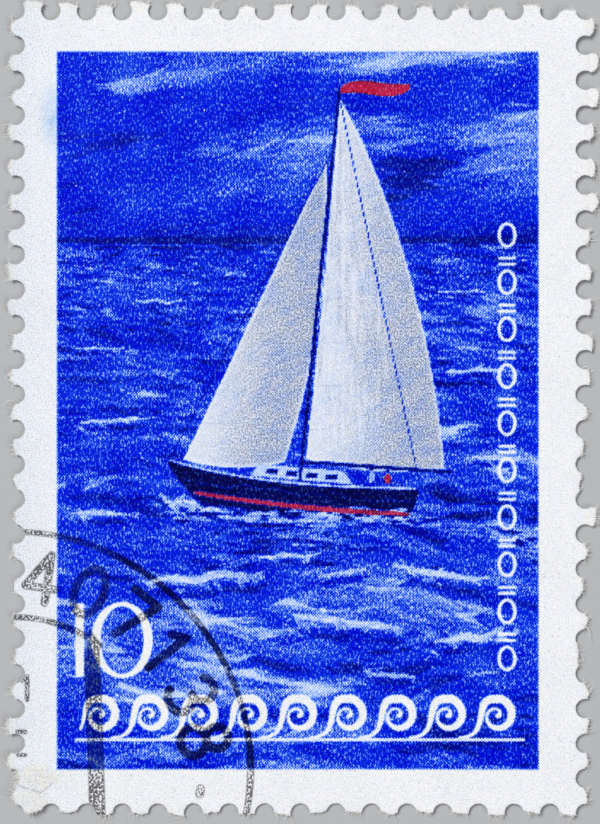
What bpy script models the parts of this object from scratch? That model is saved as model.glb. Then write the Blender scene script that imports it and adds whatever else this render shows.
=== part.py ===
"""A used postage stamp: one sheet of stamp paper with torn perforated edges.

Metres, +Z up. The sheet lies flat with its back at z = 0 and its printed face
up, +Y towards the top of the design, the origin under the middle of the sheet.
The outline is a closed run of round notches, left by the rows of perforation
holes, and of teeth, left where the paper between two holes was torn.
"""

import math
import random

import bpy

MM = 0.001

# Perforation: a gauge is the number of holes in 20 mm.
GAUGE_SHORT = 12.0  # along the top and bottom edges
GAUGE_LONG = 12.25  # along the left and right edges
STEPS_SHORT = 16  # hole spacings along the top and bottom edges
STEPS_LONG = 23  # hole spacings along the left and right edges
HOLE_RADIUS = 0.455  # mm
PAPER_THICKNESS = 0.11  # mm

PITCH_SHORT = 20.0 / GAUGE_SHORT
PITCH_LONG = 20.0 / GAUGE_LONG
WIDTH = STEPS_SHORT * PITCH_SHORT  # mm, between the centres of the corner holes
HEIGHT = STEPS_LONG * PITCH_LONG

# How far the torn teeth reach past the line of hole centres, in mm: for each
# stretch of an edge, anticlockwise, its number of teeth, lowest and highest,
# then the most that a tip's ends lie below its middle.
TEAR = {
    "bottom": ((16, -0.05, 0.09, 0.08),),
    "right": ((12, 0.02, 0.18, 0.14), (5, 0.20, 0.36, 0.20), (6, 0.38, 0.62, 0.22)),
    "top": ((4, 0.02, 0.30, 0.16), (6, 0.14, 0.34, 0.16), (6, 0.12, 0.50, 0.16)),
    "left": ((11, 0.14, 0.38, 0.22), (9, -0.05, 0.14, 0.12), (3, 0.16, 0.36, 0.22)),
}
# Teeth that pulled out short or long, by edge and place: reach in mm.
ODD_TEETH = {
    ("right", 4): -0.36,
    ("right", 6): -0.12,
    ("right", 8): 0.50,
    ("right", 9): -0.24,
    ("right", 10): -0.10,
    ("left", 22): 0.08,
    ("bottom", 0): -0.06,
}
# A hole whose paper disc didn't quite come away, so that its notch is shallow.
SHALLOW_HOLES = {("left", 22): 0.42}
TEAR_SLANT = 0.14  # mm, most rise or fall across one tooth
TEAR_RAGGED = 0.040  # mm, most unevenness of a tooth's tip
FLARE = 0.28  # mm, how far the notch's curve runs past the line of centres
TEAR_SEED = 1961

ARC_STEPS = 11  # straight steps round one notch
TIP_STEPS = 4  # straight steps across one tooth's tip

# (name, number of spacings, spacing, start corner, direction) anticlockwise.
EDGES = (
    ("bottom", STEPS_SHORT, PITCH_SHORT, (-1, -1), (1, 0)),
    ("right", STEPS_LONG, PITCH_LONG, (1, -1), (0, 1)),
    ("top", STEPS_SHORT, PITCH_SHORT, (1, 1), (-1, 0)),
    ("left", STEPS_LONG, PITCH_LONG, (-1, 1), (0, -1)),
)


def torn_teeth():
    """Each edge's teeth, as the heights of its tip at TIP_STEPS + 1 places."""
    dice = random.Random(TEAR_SEED)
    teeth = {}
    for name, count, _, _, _ in EDGES:
        ranges = [(low, high, dome) for n, low, high, dome in TEAR[name] for _ in range(n)]
        for k in range(count):
            low, high, most_dome = ranges[k]
            drawn = dice.uniform(low, high)
            reach = ODD_TEETH.get((name, k), drawn)
            slant = dice.uniform(-TEAR_SLANT, TEAR_SLANT)
            # A tooth already torn back to its neck has a flat end.
            dome = dice.uniform(0.2, 1.0) * most_dome * min(max(reach + 0.30, 0.0) / 0.30, 1.0)
            teeth[name, k] = [
                reach
                + slant * (i / TIP_STEPS - 0.5)
                - dome * (2 * i / TIP_STEPS - 1) ** 2
                + dice.uniform(-TEAR_RAGGED, TEAR_RAGGED)
                for i in range(TIP_STEPS + 1)
            ]
    return teeth


def notch(centre, arrive, leave, quarter, depth):
    """Points round one hole's wall, as (along, outward), in the edge's own frame.

    arrive and leave are how far out the wall starts and ends. A quarter notch
    is a corner hole, where the wall ends on the next edge.
    """
    start = math.pi - math.asin(max(-0.9, min(arrive, FLARE) / HOLE_RADIUS))
    end = 2 * math.pi + math.asin(max(-0.9, min(leave, FLARE) / HOLE_RADIUS))
    if quarter:
        end -= math.pi / 2
    for i in range(ARC_STEPS + 1):
        angle = start + (end - start) * i / ARC_STEPS
        out = HOLE_RADIUS * math.sin(angle)
        yield (
            centre + HOLE_RADIUS * math.cos(angle),
            out * depth if out < 0 else out,
        )


def outline():
    """The stamp's outline in mm, anticlockwise, centred on its own box."""
    teeth = torn_teeth()
    points = []
    for e, (name, count, pitch, corner, along) in enumerate(EDGES):
        next_name = EDGES[(e + 1) % 4][0]
        start = (corner[0] * WIDTH / 2, corner[1] * HEIGHT / 2)
        outward = (along[1], -along[0])
        run = []
        for k in range(count):
            tip = teeth[name, k]
            # The tip runs between the two holes' walls, a little inside them.
            ends = [
                (k + side) * pitch
                + (1 - 2 * side)
                * math.sqrt(HOLE_RADIUS**2 - min(h, FLARE) ** 2)
                for side, h in ((0, tip[0]), (1, tip[-1]))
            ]
            tuck = 0.03 * pitch
            for i, height in enumerate(tip):
                u = i / TIP_STEPS
                at = ends[0] + (ends[1] - ends[0]) * u
                if i == 0:
                    at += tuck
                if i == TIP_STEPS:
                    at -= tuck
                run.append((at, height))
            corner_hole = k == count - 1
            after = teeth[next_name, 0] if corner_hole else teeth[name, k + 1]
            run += notch(
                (k + 1) * pitch,
                tip[-1],
                after[0],
                corner_hole,
                SHALLOW_HOLES.get((name, k + 1), 1.0),
            )
        points += [
            (
                start[0] + s * along[0] + d * outward[0],
                start[1] + s * along[1] + d * outward[1],
            )
            for s, d in run
        ]
    middle = [
        (min(p[axis] for p in points) + max(p[axis] for p in points)) / 2
        for axis in (0, 1)
    ]
    return [(x - middle[0], y - middle[1]) for x, y in points]


def paper_material():
    """White coated stamp paper."""
    material = bpy.data.materials.new("stamp_paper")
    material.use_nodes = True
    surface = material.node_tree.nodes["Principled BSDF"]
    surface.inputs["Base Color"].default_value = (0.86, 0.87, 0.90, 1.0)
    surface.inputs["Roughness"].default_value = 0.72
    surface.inputs["Metallic"].default_value = 0.0
    return material


def flat_sheet(name, points, thickness, collection):
    """A flat closed sheet from an outline in mm, its underside at z = 0."""
    curve = bpy.data.curves.new(name, "CURVE")
    curve.dimensions = "2D"
    curve.fill_mode = "BOTH"
    curve.extrude = thickness / 2 * MM
    curve.resolution_u = 1
    curve.render_resolution_u = 0
    spline = curve.splines.new("POLY")
    spline.points.add(len(points) - 1)
    for point, (x, y) in zip(spline.points, points):
        point.co = (x * MM, y * MM, 0.0, 1.0)
    spline.use_cyclic_u = True
    curve.materials.append(paper_material())
    sheet = bpy.data.objects.new(name, curve)
    sheet.location.z = thickness / 2 * MM
    collection.objects.link(sheet)
    return sheet


def main():
    for old in list(bpy.data.objects):
        bpy.data.objects.remove(old, do_unlink=True)
    stamp = bpy.data.collections.new("postage_stamp")
    bpy.context.scene.collection.children.link(stamp)
    flat_sheet("paper", outline(), PAPER_THICKNESS, stamp)


main()
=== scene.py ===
"""The looks of a used postage stamp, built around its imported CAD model.

The sheet is remade as one closed mesh with torn teeth, a slightly cockled face
and a crease, and its print is laid on as inks: the brushwork of the picture is
worked out on the mesh's own grid and the line screen, missing dots, paper grain
and postmark grain come from the material's nodes. Torn paper fibres are a
second piece. Lengths in the functions are in mm unless they say otherwise.
"""

import math
import random

import bpy
import numpy as np
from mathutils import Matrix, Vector
from mathutils.geometry import delaunay_2d_cdt


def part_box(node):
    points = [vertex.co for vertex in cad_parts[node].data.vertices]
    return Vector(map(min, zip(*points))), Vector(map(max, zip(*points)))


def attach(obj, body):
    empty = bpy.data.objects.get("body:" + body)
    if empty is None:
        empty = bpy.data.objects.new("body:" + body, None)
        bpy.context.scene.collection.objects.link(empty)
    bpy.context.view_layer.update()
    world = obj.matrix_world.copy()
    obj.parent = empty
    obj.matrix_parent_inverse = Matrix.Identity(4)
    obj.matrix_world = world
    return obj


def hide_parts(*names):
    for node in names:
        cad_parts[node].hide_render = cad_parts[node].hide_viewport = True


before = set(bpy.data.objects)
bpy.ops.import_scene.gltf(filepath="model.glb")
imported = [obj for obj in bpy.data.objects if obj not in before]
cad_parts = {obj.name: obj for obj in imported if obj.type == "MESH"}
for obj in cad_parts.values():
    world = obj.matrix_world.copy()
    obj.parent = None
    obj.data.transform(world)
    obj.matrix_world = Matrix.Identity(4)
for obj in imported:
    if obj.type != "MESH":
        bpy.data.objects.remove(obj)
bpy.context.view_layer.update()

MM = 0.001
STEP = 0.07  # the face's grid
KEY_POWER, FILL_POWER, WORLD_LIGHT = 5.7, 2.4, 0.175

# ---------------------------------------------------------------------------
# The printed design, worked out on a regular grid over the sheet. All lengths
# are in mm, measured from the printed panel's lower left corner.
# ---------------------------------------------------------------------------

PANEL_W, PANEL_H = 22.48, 33.53
HORIZON = 24.6
WATERLINE = 12.1
BOAT = 1.16  # size of the boat against its first drawing


def smooth(e0, e1, v):
    t = np.clip((v - e0) / (e1 - e0), 0.0, 1.0)
    return t * t * (3 - 2 * t)


def value_noise(x, y, seed):
    """Smooth noise from 0 to 1 with one lattice step per unit."""
    xi, yi = np.floor(x).astype(np.int64), np.floor(y).astype(np.int64)
    fx, fy = x - xi, y - yi
    fx, fy = fx * fx * (3 - 2 * fx), fy * fy * (3 - 2 * fy)
    table = np.random.default_rng(seed).random((256, 256))
    a = table[yi & 255, xi & 255]
    b = table[yi & 255, (xi + 1) & 255]
    c = table[(yi + 1) & 255, xi & 255]
    d = table[(yi + 1) & 255, (xi + 1) & 255]
    return (a * (1 - fx) + b * fx) * (1 - fy) + (c * (1 - fx) + d * fx) * fy


def fbm(x, y, octaves, seed, gain=0.5):
    total, weight, out = 0.0, 1.0, 0.0
    for k in range(octaves):
        out = out + weight * value_noise(x * 2**k + 13.7 * k, y * 2**k + 7.1 * k, seed + k)
        total += weight
        weight *= gain
    return out / total


def segment_distance(x, y, a, b):
    ax, ay = a
    dx, dy = b[0] - ax, b[1] - ay
    t = np.clip(((x - ax) * dx + (y - ay) * dy) / (dx * dx + dy * dy + 1e-12), 0, 1)
    return np.hypot(x - ax - t * dx, y - ay - t * dy), t


def bezier(points, count):
    """Points along a quadratic or cubic Bezier curve."""
    t = np.linspace(0, 1, count)[:, None]
    p = [np.asarray(q, float) for q in points]
    if len(p) == 3:
        return (1 - t) ** 2 * p[0] + 2 * t * (1 - t) * p[1] + t * t * p[2]
    return (
        (1 - t) ** 3 * p[0]
        + 3 * t * (1 - t) ** 2 * p[1]
        + 3 * t * t * (1 - t) * p[2]
        + t**3 * p[3]
    )


def polygon_distance(x, y, points):
    """Distance to a closed outline, negative inside."""
    best = np.full(x.shape, 1e9)
    inside = np.zeros(x.shape, bool)
    n = len(points)
    for i in range(n):
        a, b = points[i], points[(i + 1) % n]
        d, _ = segment_distance(x, y, a, b)
        best = np.minimum(best, d)
        crosses = (a[1] > y) != (b[1] > y)
        if abs(b[1] - a[1]) > 1e-12:
            at = a[0] + (y - a[1]) * (b[0] - a[0]) / (b[1] - a[1])
            inside ^= crosses & (x < at)
    return np.where(inside, -best, best)


class Canvas:
    """The inks on a regular grid: tone of the blue and black plates, and the red one."""

    def __init__(self, x0, y0, step, nx, ny):
        self.x0, self.y0, self.step, self.nx, self.ny = x0, y0, step, nx, ny
        xs = x0 + step * np.arange(nx)
        ys = y0 + step * np.arange(ny)
        self.X, self.Y = np.meshgrid(xs, ys)
        self.tone = np.zeros((ny, nx))  # 0 paper, 1 full blue, up to 1.7 near black
        self.grey = np.zeros((ny, nx))  # thin black plate over white parts
        self.red = np.zeros((ny, nx))

    def window(self, lo, hi):
        i0 = max(0, int((lo[0] - self.x0) / self.step))
        i1 = min(self.nx, int((hi[0] - self.x0) / self.step) + 2)
        j0 = max(0, int((lo[1] - self.y0) / self.step))
        j1 = min(self.ny, int((hi[1] - self.y0) / self.step) + 2)
        return (slice(j0, j1), slice(i0, i1)) if i0 < i1 and j0 < j1 else None

    def stroke(self, spine, width, tone, strength=1.0, soft=0.35, bristle=0.35,
               seed=0, dry=0.0, shape=0.5, target="tone", mask=None):
        """One brush mark along a spine: widest in the middle, ragged along its bristles."""
        spine = np.asarray(spine, float)
        pad = width
        cut = self.window(spine.min(0) - pad, spine.max(0) + pad)
        if cut is None:
            return
        x, y = self.X[cut], self.Y[cut]
        if x.size == 0:
            return
        lengths = np.hypot(*np.diff(spine, axis=0).T)
        total = lengths.sum() + 1e-9
        run = 0.0
        best = np.full(x.shape, 1e9)
        along = np.zeros(x.shape)
        side = np.zeros(x.shape)
        for a, b, length in zip(spine[:-1], spine[1:], lengths):
            d, t = segment_distance(x, y, a, b)
            closer = d < best
            best = np.where(closer, d, best)
            along = np.where(closer, (run + t * length) / total, along)
            nx_, ny_ = -(b[1] - a[1]) / (length + 1e-9), (b[0] - a[0]) / (length + 1e-9)
            side = np.where(closer, (x - a[0]) * nx_ + (y - a[1]) * ny_, side)
            run += length
        half = width / 2 * np.clip(np.sin(np.pi * np.clip(along, 0.001, 0.999)), 0, 1) ** shape
        half = half + 1e-6
        edge = best / half
        hairs = value_noise(side / width * 9 + seed * 3.1, along * total * 0.8 + seed, 77)
        edge = edge + bristle * (hairs - 0.5) * 1.3
        alpha = 1 - smooth(1 - soft, 1 + soft * 0.6, edge)
        if dry:
            gaps = value_noise(side / width * 11 + seed * 1.7, along * total * 1.6 + 5 * seed, 78)
            alpha = alpha * (1 - dry * smooth(0.45, 0.75, gaps + 0.3 * along))
        alpha = alpha * strength
        if mask is not None:
            alpha = alpha * mask[cut]
        layer = getattr(self, target)
        layer[cut] = layer[cut] * (1 - alpha) + tone * alpha

    def fill(self, points, tone, soft=0.05, strength=1.0, target="tone"):
        points = np.asarray(points, float)
        cut = self.window(points.min(0) - 0.3, points.max(0) + 0.3)
        if cut is None:
            return None
        d = polygon_distance(self.X[cut], self.Y[cut], points)
        alpha = (1 - smooth(-soft, soft, d)) * strength
        layer = getattr(self, target)
        value = tone(self.X[cut], self.Y[cut]) if callable(tone) else tone
        layer[cut] = layer[cut] * (1 - alpha) + value * alpha
        return cut, d


def swell(x, y):
    """The sea's height pattern as seen from low down: fine near the horizon, broad below."""
    depth = np.clip(HORIZON - y, 0.0, None)
    near = 0.25 + depth * 0.115
    u = (x - 11.0) / near * 0.40 + 20.0
    v = np.log(depth * 1.0 + 0.9) * 5.2
    warp = fbm(u * 0.7 + 3.0, v * 0.7, 3, 310)
    wave = fbm(u + 1.7 * warp, v * 1.25 + 2.2 * warp + 0.10 * u, 4, 330, 0.55)
    ridge = 1 - np.abs(2 * wave - 1)
    return ridge, wave, near


def sea_tone(x, y):
    """Deep blue hollows and broad light flanks, with thin bright crests."""
    ridge, wave, near = swell(x, y)
    fine = fbm(x / near * 1.6, y / near * 4.5 + 0.7 * x / near, 3, 350)
    flank = fbm(x / near * 0.42 + 5 + 0.8 * wave, y / near * 1.25 + 0.25 * x / near, 3, 370, 0.55)
    tone = 1.05 - 0.43 * smooth(0.47, 0.66, flank)
    tone = tone - 0.50 * smooth(0.86, 0.995, ridge + 0.06 * (fine - 0.5))
    tone = tone + 0.36 * smooth(0.45, 0.32, flank) * smooth(0.40, 0.62, fine)
    tone = tone - 0.24 * smooth(0.50, 0.72, fine) * smooth(0.50, 0.85, ridge)
    return np.clip(tone, 0.12, 1.50)


def sky_tone(x, y):
    """Long wind-blown clouds over a deep blue sky, darker in a band above the sea."""
    high = (y - HORIZON) / (PANEL_H - HORIZON)
    bank = fbm(x * 0.17 + 4 + 0.25 * high, y * 0.50 - 0.05 * x, 4, 410, 0.55)
    wisps = fbm(x * 0.34 + 2 * bank, y * 1.7 - 0.30 * x + 3 * bank, 3, 430)
    light = smooth(0.47, 0.64, bank) * smooth(0.06, 0.40, high)
    tone = 0.99 - 0.60 * light - 0.17 * smooth(0.60, 0.97, high)
    tone = tone - 0.34 * smooth(0.50, 0.70, wisps) * smooth(0.05, 0.45, high) * (0.35 + 0.65 * light)
    tone = tone + 0.25 * smooth(0.46, 0.32, bank) * smooth(0.95, 0.25, high) * smooth(0.02, 0.16, high)
    # Three long streaks of thin cloud on the left.
    for cx, cy, rx, ry, lift in ((2.5, 32.2, 9.5, 1.25, 0.52), (6.5, 29.4, 6.5, 0.80, 0.46), (0.5, 27.3, 5.0, 0.60, 0.36)):
        span = np.hypot((x - cx) / rx, (y - cy - 0.09 * (x - cx) + 2.2 * (bank - 0.5)) / ry)
        tone = tone - lift * smooth(1.10, 0.20, span) * smooth(0.30, 0.60, wisps)
    return np.clip(tone + 0.14 * smooth(0.12, 0.0, high), 0.16, 1.45)


def brush_pass(canvas, source, dice, count, low, high, length, width, spread, lean,
               strength, jitter, mask=None, dry=0.2):
    """Lays brush marks over a region, each of the source's tone at its place."""
    for _ in range(count):
        x = dice.uniform(-0.4, PANEL_W + 0.4)
        y = dice.uniform(low, high)
        depth = max(0.0, HORIZON - y)
        grow = (0.38 + 0.055 * depth) if y < HORIZON else 0.9
        size = length * grow * dice.uniform(0.55, 1.35)
        thick = width * grow * dice.uniform(0.6, 1.35)
        tilt = lean(x, y) + dice.gauss(0, spread)
        bend = dice.gauss(0, 0.10) * size
        c, s = math.cos(tilt), math.sin(tilt)
        p0 = (x - c * size / 2, y - s * size / 2)
        p2 = (x + c * size / 2, y + s * size / 2)
        p1 = (x - s * bend, y + c * bend)
        tone = float(source(np.array([[x]]), np.array([[y]]))[0, 0])
        tone += dice.gauss(0, jitter)
        canvas.stroke(
            bezier((p0, p1, p2), 5), thick, min(max(tone, 0.06), 1.5), strength,
            seed=dice.random() * 50, dry=dry, mask=mask,
        )


def crest(dice, x, y, size, lean=0.0):
    """A wave crest's line: a few shallow humps that rise and fall."""
    n = max(5, int(size / 0.55))
    t = np.linspace(-0.5, 0.5, n)
    a = dice.uniform(0.02, 0.07) * size
    phase = dice.uniform(0, 6.28)
    humps = a * np.abs(np.sin(2.2 * np.pi * t + phase)) - a * 0.5
    wander = np.cumsum([dice.gauss(0, 0.035) for _ in range(n)]) * min(1.0, size / 3)
    return np.stack([x + t * size, y + humps + wander + lean * t * size], axis=1)


def paint_sea(canvas, mask):
    dice = random.Random(4127)
    inside = mask
    lean = lambda x, y: -0.10 + 0.13 * math.sin(x * 0.35 + y * 0.5)
    brush_pass(canvas, sea_tone, dice, 420, -0.3, HORIZON - 0.2, 7.0, 1.5, 0.10, lean,
               0.75, 0.05, inside, 0.15)
    brush_pass(canvas, sea_tone, dice, 1500, -0.3, HORIZON - 0.1, 3.2, 0.55, 0.16, lean,
               0.80, 0.09, inside, 0.25)
    brush_pass(canvas, sea_tone, dice, 1500, -0.3, HORIZON - 0.1, 1.7, 0.26, 0.22, lean,
               0.80, 0.16, inside, 0.35)
    # Rows of crests: a light broken line, a shadow under it, and foam on some.
    y = HORIZON - 0.5
    while y > -0.5:
        depth = HORIZON - y
        grow = 0.30 + 0.062 * depth
        for _ in range(int(2 + 9 / (1 + 0.22 * depth))):
            x = dice.uniform(-1, PANEL_W + 1)
            size = grow * dice.uniform(2.0, 6.0)
            line = crest(dice, x, y + dice.gauss(0, 0.35 * grow), size, dice.gauss(-0.04, 0.09))
            if dice.random() < 0.55:
                canvas.stroke(line + (0.0, -0.34 * grow), 0.50 * grow, dice.uniform(1.15, 1.42),
                              dice.uniform(0.5, 0.9), seed=dice.random() * 50, dry=0.25, mask=inside)
            canvas.stroke(line, 0.28 * grow * dice.uniform(0.6, 1.5), dice.uniform(0.30, 0.62), 0.85,
                          seed=dice.random() * 50, dry=0.35, mask=inside)
            for _ in range(3):
                k = dice.randrange(len(line))
                start = line[k]
                fall = grow * dice.uniform(0.5, 1.5)
                slope = dice.uniform(-0.75, -0.25)
                canvas.stroke(
                    bezier((start, start + (fall * 0.5, slope * fall * 0.25), start + (fall, slope * fall)), 4),
                    0.16 * grow * dice.uniform(0.6, 1.6), dice.uniform(0.35, 0.75), 0.8,
                    seed=dice.random() * 50, dry=0.4, mask=inside)
        y -= 0.62 * grow + 0.12
    return dice


def foam_line(canvas, dice, x, y, size, thick, mask, lean=0.0, white=0.05):
    """A breaking crest: a white ragged line with broken dabs along it and thin falls below."""
    line = crest(dice, x, y, size, lean)
    canvas.stroke(line + (0, -thick * 0.5), thick * 2.3, 0.45, 0.75, seed=dice.random() * 50,
                  dry=0.5, mask=mask)
    canvas.stroke(line + (thick * 0.4, -thick * 1.5), thick * 1.5, 1.32, 0.7,
                  seed=dice.random() * 50, dry=0.3, mask=mask)
    canvas.stroke(line, thick, white, 0.95, soft=0.25, seed=dice.random() * 50, dry=0.15,
                  bristle=0.6, mask=mask)
    for _ in range(int(6 + size * 2.2)):
        k = dice.randrange(len(line))
        at = line[k] + (dice.gauss(0, 0.14), dice.gauss(-thick * 0.2, thick * 0.5))
        run = dice.uniform(0.25, 0.9) * (0.4 + thick)
        slope = dice.gauss(-0.25, 0.35)
        canvas.stroke(bezier((at, at + (run * 0.5, slope * run * 0.4 + 0.03), at + (run, slope * run)), 4),
                      thick * dice.uniform(0.25, 0.75), dice.uniform(0.03, 0.3), 0.9, soft=0.25,
                      seed=dice.random() * 50, dry=0.15, mask=mask)


def mirror_heel(points, foot, heel):
    """Leans points about the boat's foot by the angle heel."""
    c, s = math.cos(heel), math.sin(heel)
    out = []
    for x, y in points:
        dx, dy = x - foot[0], y - foot[1]
        out.append((foot[0] + c * dx - s * dy, foot[1] + s * dx + c * dy))
    return np.array(out)


def paint_boat(canvas, mask):
    """A small sloop, leaning to the right as it runs before the wind, under white sails."""
    dice = random.Random(977)
    foot = (11.1, WATERLINE + 0.40)
    heel = -0.095
    place = lambda pts: mirror_heel([(foot[0] + BOAT * u, foot[1] + BOAT * v) for u, v in pts], foot, heel)

    # Soft dark water behind the hull, then reflections.
    for _ in range(90):
        x = dice.gauss(foot[0] + 0.3, 2.6)
        y = WATERLINE - abs(dice.gauss(0.2, 1.0))
        run = dice.uniform(0.6, 2.0)
        canvas.stroke(bezier(((x - run / 2, y), (x, y + dice.gauss(0, 0.1)), (x + run / 2, y - 0.05)), 4),
                      dice.uniform(0.10, 0.26), dice.uniform(1.1, 1.5), 0.8, seed=dice.random() * 50,
                      dry=0.3, mask=mask)
    for _ in range(70):
        y = WATERLINE - 0.4 - abs(dice.gauss(0, 1.7))
        x = dice.gauss(foot[0] + 0.8 + 0.15 * (WATERLINE - y), 1.1)
        run = dice.uniform(0.5, 1.6)
        canvas.stroke(bezier(((x - run / 2, y), (x, y + dice.gauss(0, 0.12)), (x + run / 2, y)), 4),
                      dice.uniform(0.07, 0.20), dice.uniform(0.12, 0.5), 0.85, seed=dice.random() * 50,
                      dry=0.3, mask=mask)

    mast_top = (0.25, 16.4)

    def sail(edge, light, seed, shade_side):
        """One sail: white with grey shade towards one side, fine hatching and seams."""
        edge = place(edge)
        cut = canvas.window(edge.min(0) - 0.4, edge.max(0) + 0.4)
        x, y = canvas.X[cut], canvas.Y[cut]
        d = polygon_distance(x, y, edge)
        alpha = 1 - smooth(-0.035, 0.045, d + 0.05 * (fbm(x * 5, y * 5, 2, seed) - 0.5))
        lo, hi = edge.min(0), edge.max(0)
        across = (x - lo[0]) / (hi[0] - lo[0])
        up = (y - lo[1]) / (hi[1] - lo[1])
        cloud = fbm(x * 0.30, y * 0.20, 2, seed + 5, 0.5)
        hatch = fbm(x * 1.2 + y * 0.5, (y - 0.6 * x) * 7.0, 2, seed + 9)
        side = across if shade_side > 0 else 1 - across
        shade = 0.16 + 0.62 * smooth(0.20, 1.05, side + 0.22 * (cloud - 0.5) + 0.20 * (1 - up))
        shade = shade * (0.80 + 0.40 * hatch) * smooth(0.0, 0.30, -d + 0.05)
        return cut, x, y, d, alpha, shade, up, across

    # Mainsail: luff on the mast, leech curving out to the boom's end.
    main = np.concatenate([
        bezier(((0.28, 1.75), (0.36, 9.0), mast_top), 20),
        bezier((mast_top, (2.6, 13.2), (4.9, 7.4), (5.9, 1.9)), 34)[1:],
        bezier(((5.9, 1.9), (3.2, 1.25), (0.28, 1.75)), 16)[1:-1],
    ])
    # Foresail: from the bow up the forestay, its foot and leech full of wind.
    fore = np.concatenate([
        bezier(((-4.65, 1.25), (-2.5, 7.0), (-0.05, 13.9)), 24),
        bezier(((-0.05, 13.9), (0.55, 9.2), (0.35, 5.6), (-0.55, 1.55)), 28)[1:],
        bezier(((-0.55, 1.55), (-2.6, 0.85), (-4.65, 1.25)), 14)[1:-1],
    ])
    for edge, seed, shade_side in ((main, 510, 1), (fore, 530, 1)):
        cut, x, y, d, alpha, shade, up, across = sail(edge, 0, seed, shade_side)
        canvas.tone[cut] = canvas.tone[cut] * (1 - alpha) + alpha * (
            0.02 + 0.08 * shade * smooth(0.30, 0.75, fbm(x * 1.4 + y * 0.8, (y - 0.6 * x) * 3.0, 3, seed + 21)))
        canvas.grey[cut] = np.where(alpha > 0, np.maximum(canvas.grey[cut] * (1 - alpha), alpha * shade * 0.62),
                                    canvas.grey[cut])
        canvas.red[cut] = canvas.red[cut] * (1 - alpha)
    # Panel seams, reef points and a darker luff.
    for k in range(7):
        v = 3.2 + k * 1.75
        a, b = place([(0.3, v - 0.25), (5.6 - 0.385 * (v - 1.9) * 1.02, v + 0.55)])
        mid = (a + b) / 2 + (0, -0.22)
        canvas.stroke(bezier((a, mid, b), 12), 0.085, 0.30, 0.55, bristle=0.2, seed=k, shape=0.15,
                      target="grey")
    for k in range(5):
        v = 2.8 + k * 2.05
        a, b = place([(-4.65 + (v - 1.25) * 0.362 + 0.1, v), (-0.35 + 0.06 * k, v + 0.5)])
        mid = (a + b) / 2 + (0, -0.16)
        canvas.stroke(bezier((a, mid, b), 10), 0.075, 0.30, 0.5, bristle=0.2, seed=20 + k, shape=0.15,
                      target="grey")
    # Long brush marks that round the sails: white ones over soft grey ones.
    for k in range(150):
        v = dice.uniform(1.9, 13.5)
        u = dice.uniform(0.3, max(0.6, 5.5 - 0.37 * v))
        (a, b) = place([(u, v), (u - 0.22 + dice.gauss(0, 0.08), v + dice.uniform(0.9, 2.8))])
        tone = dice.choice((0.0, 0.0, 0.30, 0.46))
        canvas.stroke(bezier((a, (a + b) / 2 + (0.14, 0), b), 5), dice.uniform(0.06, 0.26), tone, 0.42,
                      seed=dice.random() * 50, dry=0.35, target="grey", mask=canvas_mask(canvas, main, place))
    return foot, heel, place, mast_top, dice


_MASKS = {}


def canvas_mask(canvas, edge, place):
    key = len(edge), float(edge[3][0])
    if key not in _MASKS:
        pts = place(edge)
        mask = np.zeros(canvas.X.shape)
        cut = canvas.window(pts.min(0) - 0.2, pts.max(0) + 0.2)
        mask[cut] = 1 - smooth(-0.06, 0.0, polygon_distance(canvas.X[cut], canvas.Y[cut], pts))
        _MASKS[key] = mask
    return _MASKS[key]


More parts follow.
